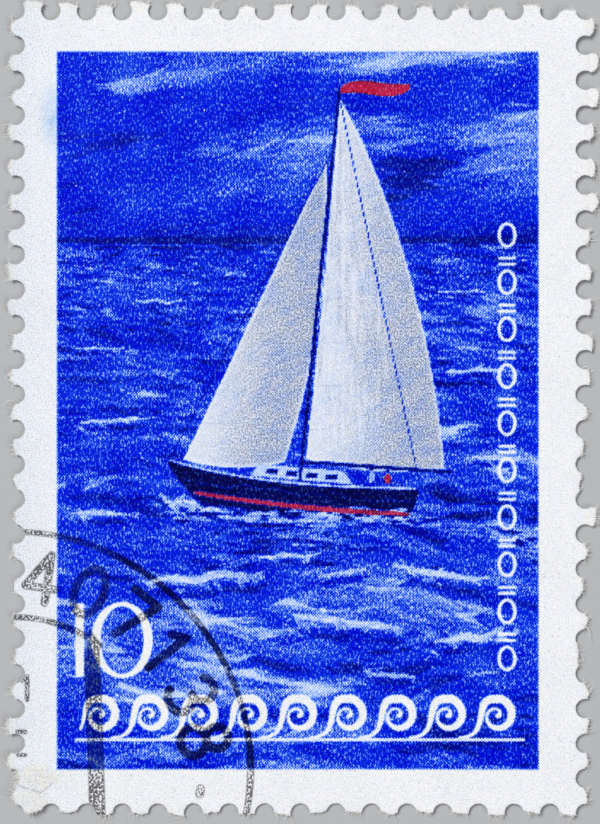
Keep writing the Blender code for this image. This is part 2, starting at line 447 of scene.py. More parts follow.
def paint_hull(canvas, foot, place, mast_top, dice, mask):
    hull = np.concatenate([
        bezier(((-5.3, 1.18), (-1.5, 0.35), (4.9, 0.98)), 24),
        bezier(((4.9, 0.98), (5.0, 0.3), (4.4, -0.42)), 8)[1:],
        bezier(((4.4, -0.42), (0.0, -0.62), (-3.6, -0.38)), 16)[1:],
        bezier(((-3.6, -0.38), (-4.7, 0.1), (-5.3, 1.18)), 10)[1:-1],
    ])
    hull = place(hull)
    cut, d = canvas.fill(hull, 1.62, 0.05)
    canvas.grey[cut] = canvas.grey[cut] * (smooth(-0.05, 0.05, d))
    # Sheen on the planks, cabin top, rail and the red boot stripe.
    for u in np.linspace(-4.6, 4.2, 16):
        a, b = place([(u, 0.42 + dice.gauss(0, 0.1)), (u + 0.8, 0.36 + dice.gauss(0, 0.08))])
        canvas.stroke(bezier((a, (a + b) / 2, b), 3), 0.09, dice.uniform(0.6, 1.15), 0.6,
                      seed=dice.random() * 50, dry=0.4)
    rail = place(bezier(((-5.25, 1.2), (-1.5, 0.4), (4.9, 1.0)), 18))
    canvas.stroke(rail, 0.13, 0.05, 0.95, bristle=0.2, shape=0.12)
    cabin = place([(-1.9, 0.86), (-1.6, 1.38), (1.9, 1.42), (2.3, 0.9)])
    canvas.fill(cabin, 0.10, 0.04)
    for k in range(4):
        window = place([(-1.25 + 0.8 * k, 1.02), (-1.25 + 0.8 * k, 1.2), (-0.8 + 0.8 * k, 1.22), (-0.8 + 0.8 * k, 1.04)])
        canvas.fill(window, 1.4, 0.03)
    stripe = place(bezier(((-4.05, -0.02), (0.0, -0.32), (4.62, -0.08)), 18))
    canvas.stroke(stripe, 0.27, 1.0, 0.97, soft=0.2, bristle=0.2, shape=0.10, target="red")
    canvas.stroke(stripe, 0.27, 0.0, 0.97, soft=0.2, bristle=0.2, shape=0.10)
    # Mast, boom and stays.
    for a, b, wide, tone in (
        ((0.12, 0.9), (0.22, 16.75), 0.16, 1.5),
        ((0.15, 1.62), (6.15, 1.78), 0.17, 1.5),
        ((-5.2, 1.2), (0.2, 14.3), 0.07, 1.3),
        ((0.22, 16.5), (5.0, 1.0), 0.05, 1.2),
    ):
        p, q = place([a, b])
        canvas.stroke(np.array([p, (p + q) / 2, q]), wide, tone, 0.9, bristle=0.15, shape=0.05)
    # A long red pennant that streams from the masthead.
    top = np.array(place([(0.24, 16.7)])[0])
    for off, wide in ((0.0, 0.62), (-0.14, 0.45)):
        streamer = bezier((top + (0.0, off), top + (1.0, 0.55 + off), top + (2.0, -0.35 + off), top + (3.3, 0.25 + off)), 16)
        canvas.stroke(streamer, wide, 1.0, 0.97, soft=0.2, bristle=0.3, shape=0.45, target="red")
        canvas.stroke(streamer, wide, 0.0, 0.97, soft=0.2, bristle=0.3, shape=0.45)
    # Two of the crew in the cockpit, as small marks.
    for u, tone_, red_ in ((3.0, 0.15, 0.0), (3.65, 0.0, 1.0)):
        a = np.array(place([(u, 1.05)])[0])
        canvas.stroke(np.array([a, a + (0.02, 0.28), a + (0.0, 0.5)]), 0.36, tone_, 0.95, bristle=0.1)
        if red_:
            canvas.stroke(np.array([a, a + (0.02, 0.28), a + (0.0, 0.5)]), 0.36, 1.0, 0.95, bristle=0.1, target="red")
        canvas.stroke(np.array([a + (0, 0.55), a + (0.01, 0.66)]), 0.24, 1.45, 0.95, bristle=0.1)


def paint_foam(canvas, foot, dice, mask):
    """White water: the bow wave, the wake and breaking crests near and far."""
    bow = (foot[0] - 4.3 * BOAT, WATERLINE + 0.15)
    stern = (foot[0] + 4.4 * BOAT, WATERLINE - 0.30)
    for _ in range(46):
        t = dice.random()
        at = np.array([bow[0] + t * 9.3 * BOAT - 0.4, bow[1] - 0.28 + dice.gauss(0, 0.14) - 0.3 * t])
        run = dice.uniform(0.3, 1.3)
        canvas.stroke(bezier((at, at + (run / 2, dice.gauss(0.08, 0.1)), at + (run, dice.gauss(-0.05, 0.1))), 4),
                      dice.uniform(0.10, 0.30), dice.uniform(0.02, 0.2), 0.95, soft=0.25,
                      seed=dice.random() * 50, dry=0.2, mask=mask)
    for _ in range(34):
        at = np.array([bow[0] + dice.gauss(-0.1, 0.55), bow[1] + dice.gauss(-0.05, 0.22)])
        run = dice.uniform(0.25, 0.8)
        ang = dice.uniform(1.9, 3.3)
        canvas.stroke(bezier((at, at + (run * 0.5 * math.cos(ang), 0.5 * run * math.sin(ang) + 0.1),
                              at + (run * math.cos(ang), run * math.sin(ang) * 0.6)), 4),
                      dice.uniform(0.07, 0.22), dice.uniform(0.02, 0.2), 0.95, soft=0.25,
                      seed=dice.random() * 50, dry=0.15, mask=mask)
    for _ in range(70):
        t = dice.random() ** 0.8
        at = np.array([stern[0] + t * 7.0, stern[1] - 0.2 - t * 1.1 + dice.gauss(0, 0.14 + 0.35 * t)])
        run = dice.uniform(0.4, 1.6)
        canvas.stroke(bezier((at, at + (run / 2, dice.gauss(0.03, 0.08)), at + (run, dice.gauss(-0.1, 0.12))), 4),
                      dice.uniform(0.06, 0.22), dice.uniform(0.03, 0.4), 0.9, soft=0.25,
                      seed=dice.random() * 50, dry=0.3, mask=mask)
    for x, y, size, thick, tilt in (
        (4.6, 21.9, 2.0, 0.11, 0.0), (19.0, 22.3, 2.4, 0.10, 0.0), (2.0, 19.6, 2.6, 0.15, -0.02),
        (19.6, 18.6, 3.0, 0.18, 0.03), (2.6, 16.3, 3.2, 0.22, 0.05), (18.0, 9.2, 4.6, 0.32, -0.10),
        (6.9, 8.9, 5.6, 0.40, 0.07), (2.0, 11.9, 2.8, 0.24, 0.04), (13.6, 6.9, 5.2, 0.46, -0.12),
        (19.4, 6.1, 3.6, 0.36, 0.10), (10.8, 9.9, 3.0, 0.22, 0.0), (15.6, 4.4, 2.4, 0.22, -0.12),
        (20.6, 14.6, 2.6, 0.2, 0.0), (13.4, 9.2, 2.2, 0.22, 0.12),
    ):
        foam_line(canvas, dice, x, y, size, thick, mask, tilt)


def paint_sky(canvas, mask):
    dice = random.Random(88)
    lean = lambda x, y: 0.12 + 0.10 * math.sin(0.3 * x)
    brush_pass(canvas, sky_tone, dice, 160, HORIZON, PANEL_H + 0.4, 7.5, 1.7, 0.07, lean, 0.7, 0.04, mask, 0.1)
    brush_pass(canvas, sky_tone, dice, 420, HORIZON + 0.1, PANEL_H + 0.4, 3.6, 0.55, 0.10, lean, 0.7, 0.07, mask, 0.25)
    brush_pass(canvas, sky_tone, dice, 260, HORIZON + 0.1, PANEL_H + 0.4, 2.0, 0.20, 0.12, lean, 0.7, 0.14, mask, 0.4)
    # The far edge of the sea: a dark line with a thin light one on it.
    canvas.stroke(np.array([(-1, HORIZON), (11, HORIZON + 0.03), (PANEL_W + 1, HORIZON)]), 0.55, 1.32, 0.75,
                  shape=0.02, mask=mask)
    for _ in range(26):
        x = dice.uniform(0, PANEL_W)
        run = dice.uniform(0.5, 2.4)
        canvas.stroke(np.array([(x, HORIZON - 0.1), (x + run / 2, HORIZON - 0.08), (x + run, HORIZON - 0.1)]),
                      0.09, dice.uniform(0.35, 0.7), 0.7, seed=dice.random() * 50, mask=mask)


def paint_picture(x0, y0, step, nx, ny):
    canvas = Canvas(x0, y0, step, nx, ny)
    whole = np.ones(canvas.X.shape)
    canvas.tone[:] = np.where(canvas.Y > HORIZON, sky_tone(canvas.X, canvas.Y), sea_tone(canvas.X, canvas.Y))
    below = smooth(HORIZON + 0.05, HORIZON - 0.05, canvas.Y)
    paint_sky(canvas, whole)
    paint_sea(canvas, below)
    foot, heel, place, mast_top, dice = paint_boat(canvas, whole)
    paint_hull(canvas, foot, place, mast_top, dice, whole)
    paint_foam(canvas, foot, dice, below)
    return canvas
# ---------------------------------------------------------------------------
# The outline: the same perforation and torn teeth as the CAD sheet, drawn finer.
# ---------------------------------------------------------------------------

GAUGE_SHORT, GAUGE_LONG = 12.0, 12.25
STEPS_SHORT, STEPS_LONG = 16, 23
HOLE_RADIUS = 0.455
THICKNESS = 0.11
PITCH_SHORT, PITCH_LONG = 20.0 / GAUGE_SHORT, 20.0 / GAUGE_LONG
WIDTH, HEIGHT = STEPS_SHORT * PITCH_SHORT, STEPS_LONG * PITCH_LONG
TEAR = {
    "bottom": ((16, -0.05, 0.09, 0.08),),
    "right": ((12, 0.02, 0.18, 0.14), (5, 0.20, 0.36, 0.20), (6, 0.38, 0.62, 0.22)),
    "top": ((4, 0.02, 0.30, 0.16), (6, 0.14, 0.34, 0.16), (6, 0.12, 0.50, 0.16)),
    "left": ((11, 0.14, 0.38, 0.22), (9, -0.05, 0.14, 0.12), (3, 0.16, 0.36, 0.22)),
}
ODD_TEETH = {("right", 4): -0.36, ("right", 6): -0.12, ("right", 8): 0.50, ("right", 9): -0.24, ("right", 10): -0.10,
             ("left", 22): 0.08, ("bottom", 0): -0.06}
SHALLOW_HOLES = {("left", 22): 0.42}
TEAR_SLANT, TEAR_RAGGED, FLARE, TEAR_SEED = 0.14, 0.040, 0.28, 1961
TIP_STEPS = 4
EDGES = (
    ("bottom", STEPS_SHORT, PITCH_SHORT, (-1, -1), (1, 0)),
    ("right", STEPS_LONG, PITCH_LONG, (1, -1), (0, 1)),
    ("top", STEPS_SHORT, PITCH_SHORT, (1, 1), (-1, 0)),
    ("left", STEPS_LONG, PITCH_LONG, (-1, 1), (0, -1)),
)


def torn_teeth():
    dice = random.Random(TEAR_SEED)
    teeth = {}
    for name, count, _, _, _ in EDGES:
        ranges = [(low, high, dome) for n, low, high, dome in TEAR[name] for _ in range(n)]
        for k in range(count):
            low, high, most_dome = ranges[k]
            drawn = dice.uniform(low, high)
            reach = ODD_TEETH.get((name, k), drawn)
            slant = dice.uniform(-TEAR_SLANT, TEAR_SLANT)
            # A tooth already torn back to its neck has a flat end.
            dome = dice.uniform(0.2, 1.0) * most_dome * min(max(reach + 0.30, 0.0) / 0.30, 1.0)
            teeth[name, k] = [
                reach
                + slant * (i / TIP_STEPS - 0.5)
                - dome * (2 * i / TIP_STEPS - 1) ** 2
                + dice.uniform(-TEAR_RAGGED, TEAR_RAGGED)
                for i in range(TIP_STEPS + 1)
            ]
    return teeth


TEETH = torn_teeth()


def edge_outline(arc_steps, tip_steps, ragged):
    """The outline before centring, with each tip point's edge and tooth.

    ragged is how uneven the fine outline is next to the coarse one: 0 gives
    the CAD sheet's own corners.
    """
    points, tips = [], []
    for e, (name, count, pitch, corner, along) in enumerate(EDGES):
        next_name = EDGES[(e + 1) % 4][0]
        start = (corner[0] * WIDTH / 2, corner[1] * HEIGHT / 2)
        outward = (along[1], -along[0])

        def put(s, d, tooth):
            points.append(
                (
                    start[0] + s * along[0] + d * outward[0],
                    start[1] + s * along[1] + d * outward[1],
                )
            )
            tips.append(tooth)

        for k in range(count):
            tip = TEETH[name, k]
            ends = [
                (k + side) * pitch
                + (1 - 2 * side) * math.sqrt(HOLE_RADIUS**2 - min(h, FLARE) ** 2)
                for side, h in ((0, tip[0]), (1, tip[-1]))
            ]
            tuck = 0.03 * pitch
            places = [ends[0] + (ends[1] - ends[0]) * i / TIP_STEPS for i in range(TIP_STEPS + 1)]
            places[0] += tuck
            places[-1] -= tuck
            for i in range(tip_steps + 1):
                u = i / tip_steps * TIP_STEPS
                j = min(int(u), TIP_STEPS - 1)
                f = u - j
                s = places[j] * (1 - f) + places[j + 1] * f
                d = tip[j] * (1 - f) + tip[j + 1] * f
                if ragged:
                    fray = float(
                        fbm(np.array([s * 9.0 + 31 * e]), np.array([k * 3.3 + 5.0 * e]), 3, 900, 0.7)[0]
                    )
                    d += ragged * (fray - 0.5) * 2.0
                    s += ragged * 0.35 * (
                        float(value_noise(np.array([s * 23.0]), np.array([k * 1.7 + e]), 904)[0]) - 0.5
                    )
                put(s, d, (name, k, u / TIP_STEPS))
            corner_hole = k == count - 1
            after = TEETH[next_name, 0] if corner_hole else TEETH[name, k + 1]
            depth = SHALLOW_HOLES.get((name, k + 1), 1.0)
            a0 = math.pi - math.asin(max(-0.9, min(tip[-1], FLARE) / HOLE_RADIUS))
            a1 = 2 * math.pi + math.asin(max(-0.9, min(after[0], FLARE) / HOLE_RADIUS))
            if corner_hole:
                a1 -= math.pi / 2
            for i in range(arc_steps + 1):
                a = a0 + (a1 - a0) * i / arc_steps
                out = HOLE_RADIUS * math.sin(a)
                r = 0.0
                if ragged and 0 < i < arc_steps:
                    burr = float(
                        fbm(np.array([a * 3.2 + 17 * e]), np.array([k * 2.9 + 0.5]), 3, 910, 0.6)[0]
                    )
                    rough = 0.16 if depth < 1 else 0.030
                    r = rough * (burr - 0.5)
                put(
                    (k + 1) * pitch + (HOLE_RADIUS + r) * math.cos(a),
                    (out * depth if out < 0 else out) + r * math.sin(a),
                    None,
                )
    return np.array(points), tips


COARSE, _ = edge_outline(11, 4, 0.0)
MIDDLE = (COARSE.min(0) + COARSE.max(0)) / 2  # what part.py centres on
PANEL_X0 = -WIDTH / 2 + 1.977 - MIDDLE[0]
PANEL_Y0 = -HEIGHT / 2 + 2.075 - MIDDLE[1]
cad_low, cad_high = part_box("paper")
assert abs((COARSE - MIDDLE).max(0)[0] - cad_high.x / MM) < 0.01, "the outline differs from the CAD sheet's"
assert abs((COARSE - MIDDLE).max(0)[1] - cad_high.y / MM) < 0.01, "the outline differs from the CAD sheet's"


def inside_and_distance(px, py, ring):
    """Whether points are inside a closed ring, and how far they are from it."""
    a, b = ring, np.roll(ring, -1, axis=0)
    inside = np.zeros(len(px), bool)
    best = np.full(len(px), 1e9)
    dx, dy = (b - a).T
    norm = dx * dx + dy * dy + 1e-15
    for lo in range(0, len(px), 1500):
        x = px[lo : lo + 1500, None]
        y = py[lo : lo + 1500, None]
        crosses = (a[None, :, 1] > y) != (b[None, :, 1] > y)
        at = a[None, :, 0] + (y - a[None, :, 1]) * (dx / np.where(dy == 0, 1e-15, dy))[None]
        inside[lo : lo + 1500] = (np.sum(crosses & (x < at), axis=1) % 2) == 1
        t = np.clip(((x - a[None, :, 0]) * dx + (y - a[None, :, 1]) * dy) / norm, 0, 1)
        d2 = (x - a[None, :, 0] - t * dx) ** 2 + (y - a[None, :, 1] - t * dy) ** 2
        best[lo : lo + 1500] = np.sqrt(d2.min(axis=1))
    return inside, best
# ---------------------------------------------------------------------------
# Lettering-like marks: a plain numeral, ornament bands and the postmark, each
# as how deep inside its shape a place lies, in mm, so that edges stay sharp.
# ---------------------------------------------------------------------------


class Marks:
    def __init__(self, canvas, reach=0.25):
        self.c = canvas
        self.depth = np.full(canvas.X.shape, -reach)
        self.reach = reach

    def line(self, points, widths):
        """A line of varying width through points."""
        points = np.asarray(points, float)
        widths = np.broadcast_to(np.asarray(widths, float), (len(points),))
        pad = widths.max() / 2 + self.reach
        cut = self.c.window(points.min(0) - pad, points.max(0) + pad)
        if cut is None:
            return
        x, y = self.c.X[cut], self.c.Y[cut]
        here = self.depth[cut]
        for a, b, wa, wb in zip(points[:-1], points[1:], widths[:-1], widths[1:]):
            d, t = segment_distance(x, y, a, b)
            here = np.maximum(here, (wa * (1 - t) + wb * t) / 2 - d)
        self.depth[cut] = here

    def area(self, points, hollow=False):
        points = np.asarray(points, float)
        cut = self.c.window(points.min(0) - self.reach, points.max(0) + self.reach)
        if cut is None:
            return
        d = -polygon_distance(self.c.X[cut], self.c.Y[cut], points)
        self.depth[cut] = np.minimum(self.depth[cut], -d) if hollow else np.maximum(self.depth[cut], d)

    def oval_ring(self, centre, outer, inner, shift=0.0):
        """A ring between two ovals: a numeral's bowl with thick sides."""
        pad = self.reach
        cut = self.c.window(
            (centre[0] - outer[0] - pad, centre[1] - outer[1] - pad),
            (centre[0] + outer[0] + pad, centre[1] + outer[1] + pad),
        )
        x, y = self.c.X[cut] - centre[0], self.c.Y[cut] - centre[1]

        def depth(rx, ry, dx):
            q = np.sqrt(((x - dx) / rx) ** 2 + (y / ry) ** 2) + 1e-9
            slope = np.sqrt(((x - dx) / rx**2) ** 2 + (y / ry**2) ** 2) / q + 1e-9
            return (1 - q) / slope

        ring = np.minimum(depth(*outer, 0.0), -depth(*inner, shift)) if inner else depth(*outer, 0.0)
        self.depth[cut] = np.maximum(self.depth[cut], ring)


def white_marks(canvas):
    """What the panel leaves unprinted: the value, a running scroll and a bead border."""
    m = Marks(canvas)
    # The value, a plain 10.
    m.area([(0.82, 4.28), (1.25, 4.28), (1.25, 7.76), (0.92, 7.76), (0.82, 7.66)])
    m.line([(0.98, 7.60), (0.70, 7.30)], [0.24, 0.16])
    m.oval_ring((3.02, 6.02), (1.46, 1.80), (0.99, 1.56))
    # A running scroll along the foot: each wave rises, curls over and coils in.
    base, tall, unit, count = 1.34, 2.08, 2.32, 9
    for k in range(count):
        x0 = 0.86 + k * unit
        rise = bezier(
            ((x0 - 0.62, base + 0.13), (x0 + 0.95, base + 0.10), (x0 - 0.10, base + tall), (x0 + 1.12, base + tall - 0.16)),
            18,
        )
        if k == 0:
            rise = rise[5:]
        cx, cy = x0 + 1.12, base + tall * 0.555
        coil = []
        for i in range(34):
            t = i / 33
            a = math.pi / 2 - t * 2 * math.pi * 1.28
            r = (tall * 0.445 - 0.16) * (1 - t) ** 0.75 + 0.06
            coil.append((cx + r * math.cos(a), cy + r * math.sin(a)))
        path = np.concatenate([rise, np.array(coil)[1:]])
        t = np.linspace(0, 1, len(path))
        wide = 0.16 + 0.27 * np.sin(np.pi * np.clip(t * 1.35, 0, 1)) ** 1.2 + 0.10 * smooth(0.86, 1.0, t)
        m.line(path, wide)
    m.line([(0.86, base + 0.02), (0.86 + unit * count + 0.05, base + 0.02)], 0.17)
    # A bead-and-reel border up the right side.
    x, y = 21.03, 4.55
    for k in range(9):
        m.oval_ring((x, y + 0.62), (0.47, 0.62), (0.27, 0.44))
        for off in (1.46, 1.74):
            m.line([(x - 0.36, y + off), (x + 0.36, y + off)], 0.17)
        y += 2.2
    m.oval_ring((x, y + 0.62), (0.47, 0.62), (0.27, 0.44))
    return m.depth


DIGITS = {
    "0": [[(0.31 + 0.29 * math.cos(a), 0.5 + 0.5 * math.sin(a)) for a in np.linspace(0, 2 * math.pi, 25)]],
    "1": [[(0.10, 0.80), (0.34, 1.0), (0.34, 0.0)]],
    "2": [[(0.04, 0.74)] + [(0.31 + 0.27 * math.cos(a), 0.72 + 0.28 * math.sin(a)) for a in np.linspace(2.9, -0.75, 14)]
          + [(0.04, 0.0), (0.60, 0.0)]],
    "3": [[(0.31 + 0.25 * math.cos(a), 0.75 + 0.25 * math.sin(a)) for a in np.linspace(2.6, -1.5, 14)],
          [(0.30 + 0.29 * math.cos(a), 0.26 + 0.26 * math.sin(a)) for a in np.linspace(1.5, -2.6, 14)]],
    "4": [[(0.46, 0.0), (0.46, 1.0), (0.02, 0.30), (0.64, 0.30)]],
    "6": [[(0.52, 0.97), (0.25, 0.80), (0.08, 0.50)]
          + [(0.32 + 0.26 * math.cos(a), 0.28 + 0.28 * math.sin(a)) for a in np.linspace(2.8, 9.0, 22)]],
    "7": [[(0.02, 1.0), (0.62, 1.0), (0.24, 0.0)]],
    "8": [[(0.31 + 0.23 * math.cos(a), 0.77 + 0.23 * math.sin(a)) for a in np.linspace(0, 2 * math.pi, 20)],
          [(0.31 + 0.29 * math.cos(a), 0.27 + 0.27 * math.sin(a)) for a in np.linspace(0, 2 * math.pi, 22)]],
}


def postmark(canvas):
    """A round cancel over the lower left corner: two rings, a bar and plain digits."""
    m = Marks(canvas)
    centre = np.array((-2.13, -0.07))

    def arc(radius, a0, a1, widths, n=60):
        a = np.radians(np.linspace(a0, a1, n))
        wobble = 0.03 * np.sin(a * 5 + 1.0)
        path = centre + np.stack([(radius + wobble) * np.cos(a), (radius + wobble) * np.sin(a)], axis=1)
        m.line(path, np.interp(np.linspace(0, 1, n), np.linspace(0, 1, len(widths)), widths))

    arc(11.14, -14, 96, (0.29, 0.35, 0.26, 0.27, 0.31, 0.27, 0.30, 0.27, 0.25), 110)
    arc(7.15, 55, 100, (0.29, 0.31, 0.27, 0.28, 0.25), 50)
    # The bar of the date stamp's frame, heavily inked.
    m.area([(1.51, -2.6), (2.27, -2.6), (2.04, 4.2), (1.92, 6.0), (1.48, 6.6), (1.25, 5.0)])
    # Plain digits round the ring, their feet towards its centre.
    tall, wide, heavy = 2.25, 1.42, 0.38
    for text, angle in zip("407138", (81.5, 66.5, 52.0, 37.5, 23.0, 9.0)):
        a = math.radians(angle)
        up = np.array((math.cos(a), math.sin(a)))
        right = np.array((up[1], -up[0]))
        foot = centre + up * 7.98
        for stroke in DIGITS[text]:
            path = [foot + right * (u - 0.31) * wide / 0.62 + up * v * tall for u, v in stroke]
            m.line(path, heavy)
    a = math.radians(-7.2)
    dot = centre + np.array((math.cos(a), math.sin(a))) * 8.85
    m.line([dot, dot + (0.05, 0.24)], 0.42)
    # Ends of the date's strokes, where they reach on to the sheet's left edge.
    for x0, y0, x1, y1, w in (
        (-1.42, 3.24, -1.42, 4.32, 0.22), (-1.46, 4.30, -1.66, 4.10, 0.16),
        (-1.86, 1.75, -1.50, 1.73, 0.22), (-1.84, 0.66, -1.50, 0.65, 0.18),
    ):
        m.line([(x0, y0), (x1, y1)], w)
    return m.depth
# ---------------------------------------------------------------------------
# The sheet: one closed mesh. Its face is a fine grid, joined to the torn
# outline by a triangulated strip; its back is coarse.
# ---------------------------------------------------------------------------


def edge_reach(x, y):
    """How far a place is past the nearest line of hole centres: negative inside."""
    cx, cy = -MIDDLE
    return np.maximum(np.abs(x - cx) - WIDTH / 2, np.abs(y - cy) - HEIGHT / 2)


def torn_side(x, y):
    """How cream and open the torn paper is on each side of the sheet."""
    left = smooth(-12.4, -13.3, x)
    top = smooth(18.0, 18.8, y)
    return np.clip(0.42 + 0.58 * left + 0.25 * top, 0, 1)


def sheet_rise(x, y):
    """Height of the sheet's back over the table: a used stamp never lies quite flat."""
    curl = 0.10 * (x / 13.7) ** 2 + 0.07 * (y / 19.1) ** 2 * (0.6 + 0.4 * np.sin(x * 0.11 + 0.6))
    cockle = 0.055 * (fbm(x * 0.16 + 9, y * 0.13 + 4, 3, 710) - 0.5)
    teeth = 0.17 * (fbm(x * 0.62 + 3, y * 0.62 + 8, 2, 720) - 0.42) * smooth(-0.75, 0.35, edge_reach(x, y))
    # A crease across the lower left corner: the corner past it is bent up a little.
    fold = (x + 13.20) * 0.295 + (y + 17.69) * 0.955 + 0.06 * (fbm(x * 0.8, y * 0.8, 2, 730) - 0.5)
    near = smooth(2.6, 0.6, np.hypot(x + 13.2, y + 18.0))
    crease = 0.17 * np.clip(-fold, 0, 1.6) * near + 0.020 * np.exp(-((fold / 0.055) ** 2)) * near
    second = (x + 12.28) * 0.555 - (y + 17.97) * 0.832
    crease = crease - 0.014 * np.exp(-((second / 0.06) ** 2)) * smooth(0.75, 0.30, np.hypot(x + 11.95, y + 17.75))
    return np.maximum(curl + cockle + teeth + crease + 0.02, 0.0)


def thickness_at(x, y, tear):
    """The paper thins out to fibres where it was torn."""
    return THICKNESS * (1 - 0.55 * tear * (0.6 + 0.8 * (fbm(x * 6, y * 6, 2, 740) - 0.5)))


def sample(field, x, y, canvas):
    """A grid field at any places, between its values."""
    fx = (x - PANEL_X0 - canvas.x0) / canvas.step
    fy = (y - PANEL_Y0 - canvas.y0) / canvas.step
    i = np.clip(fx.astype(int), 0, canvas.nx - 2)
    j = np.clip(fy.astype(int), 0, canvas.ny - 2)
    u, v = np.clip(fx - i, 0, 1), np.clip(fy - j, 0, 1)
    return (field[j, i] * (1 - u) + field[j, i + 1] * u) * (1 - v) + (
        field[j + 1, i] * (1 - u) + field[j + 1, i + 1] * u
    ) * v


def triangulate(points, edges):
    """Constrained triangles over points, as indices into them."""
    got = delaunay_2d_cdt([Vector((float(p[0]), float(p[1]))) for p in points], edges, [], 0, 1e-7, True)
    coords, faces, came_from = np.array([tuple(v) for v in got[0]]), got[2], got[3]
    origin = [ids[0] if ids else -1 for ids in came_from]
    if min(origin) < 0:
        raise RuntimeError("the outline crosses itself")
    tris = np.array([[origin[i] for i in f] for f in faces])
    a, b, c = (points[tris[:, k]] for k in range(3))
    area = (b[:, 0] - a[:, 0]) * (c[:, 1] - a[:, 1]) - (b[:, 1] - a[:, 1]) * (c[:, 0] - a[:, 0])
    tris[area < 0] = tris[area < 0][:, ::-1]
    return tris[np.abs(area) > 1e-12]


def build_sheet(canvas, fields):
    ring, tips = edge_outline(24, 22, 0.030)
    ring = ring - MIDDLE
    n = len(ring)
    gap = np.hypot(*(np.roll(ring, -1, axis=0) - ring).T)
    keep = gap > 0.004
    ring, tips = ring[keep], [t for t, k in zip(tips, keep) if k]
    n = len(ring)

    gx = canvas.X + PANEL_X0
    gy = canvas.Y + PANEL_Y0
    near = edge_reach(gx, gy) > -1.0
    inside = ~near
    far = np.full(gx.shape, 1.0)
    hit, dist = inside_and_distance(gx[near], gy[near], ring)
    inside[near] = hit
    far[near] = np.where(hit, dist, 0.0)
    core = inside & (far > 0.73 * canvas.step)
    cells = core[:-1, :-1] & core[:-1, 1:] & core[1:, :-1] & core[1:, 1:]
    used = np.zeros(gx.shape, bool)
    for dj in (0, 1):
        for di in (0, 1):
            used[dj : dj + cells.shape[0], di : di + cells.shape[1]] |= cells
    number = np.full(gx.shape, -1)
    number[used] = np.arange(used.sum())
    grid_xy = np.stack([gx[used], gy[used]], axis=1)
    m = len(grid_xy)
    quads = np.stack(
        [number[:-1, :-1][cells], number[:-1, 1:][cells], number[1:, 1:][cells], number[1:, :-1][cells]], axis=1
    )
    # Edges of the grid's rim belong to one cell only.
    ends = np.concatenate([quads[:, [0, 1]], quads[:, [1, 2]], quads[:, [2, 3]], quads[:, [3, 0]]])
    key = np.sort(ends, axis=1)
    order, first, count = np.unique(key[:, 0] * (m + 1) + key[:, 1], return_index=True, return_counts=True)
    rim = ends[first[count == 1]]
    rim_points = np.unique(rim)
    loose = inside & ~used & (far > 0.5 * canvas.step)
    loose_xy = np.stack([gx[loose], gy[loose]], axis=1)

    # Strip between the rim and the torn outline.
    local = np.concatenate([ring, grid_xy[rim_points], loose_xy])
    place = {int(g): n + i for i, g in enumerate(rim_points)}
    edges = [(i, (i + 1) % n) for i in range(n)] + [(place[int(a)], place[int(b)]) for a, b in rim]
    tris = triangulate(local, edges)
    mid = local[tris].mean(axis=1)
    ok, _ = inside_and_distance(mid[:, 0], mid[:, 1], ring)
    ci = np.floor((mid[:, 0] - gx[0, 0]) / canvas.step).astype(int)
    cj = np.floor((mid[:, 1] - gy[0, 0]) / canvas.step).astype(int)
    ci, cj = np.clip(ci, 0, cells.shape[1] - 1), np.clip(cj, 0, cells.shape[0] - 1)
    tris = tris[ok & ~cells[cj, ci]]

    # Back: the outline and a coarse grid.
    bx, by = np.meshgrid(np.arange(-13.6, 13.7, 0.34), np.arange(-19.0, 19.1, 0.34))
    bx, by = bx.ravel(), by.ravel()
    hit, dist = inside_and_distance(bx, by, ring)
    back_xy = np.stack([bx[hit & (dist > 0.17)], by[hit & (dist > 0.17)]], axis=1)
    back_local = np.concatenate([ring, back_xy])
    back_tris = triangulate(back_local, [(i, (i + 1) % n) for i in range(n)])
    mid = back_local[back_tris].mean(axis=1)
    ok, _ = inside_and_distance(mid[:, 0], mid[:, 1], ring)
    back_tris = back_tris[ok]

    # Vertices: face ring, grid, loose, middle ring, back ring, back grid.
    ring_next = np.roll(ring, -1, axis=0) - np.roll(ring, 1, axis=0)
    out = np.stack([ring_next[:, 1], -ring_next[:, 0]], axis=1)
    out /= np.hypot(*out.T)[:, None] + 1e-12
    bulge = 0.004 + 0.014 * np.array([t is not None for t in tips])
    wobble = 0.6 + 0.8 * value_noise(ring[:, 0] * 17, ring[:, 1] * 17, 750)
    middle = ring + out * (bulge * wobble)[:, None]
    xy = np.concatenate([ring, grid_xy, loose_xy, middle, ring, back_xy])
    is_tip = np.array([t is not None for t in tips], float)
    tear_ring = is_tip * smooth(-0.30, 0.12, edge_reach(ring[:, 0], ring[:, 1]))
    counts = [n, m, len(loose_xy), n, n, len(back_xy)]
    starts = np.concatenate([[0], np.cumsum(counts)])
    total = starts[-1]
    face_side = np.zeros(total)
    face_side[: starts[3]] = 1.0
    face_side[starts[3] : starts[4]] = 0.5
    x, y = xy[:, 0], xy[:, 1]
    reach = edge_reach(x, y)
    tear = smooth(-0.22, 0.22, reach)
    tear[starts[0] : starts[1]] = tear_ring
    tear[starts[3] : starts[4]] = tear_ring
    tear[starts[4] : starts[5]] = tear_ring
    rise = sheet_rise(x, y)
    thick = thickness_at(x, y, tear)
    top = rise + (THICKNESS + thick) / 2
    low = rise + (THICKNESS - thick) / 2
    z = np.where(face_side == 1.0, top, np.where(face_side == 0.5, (top + low) / 2, low))
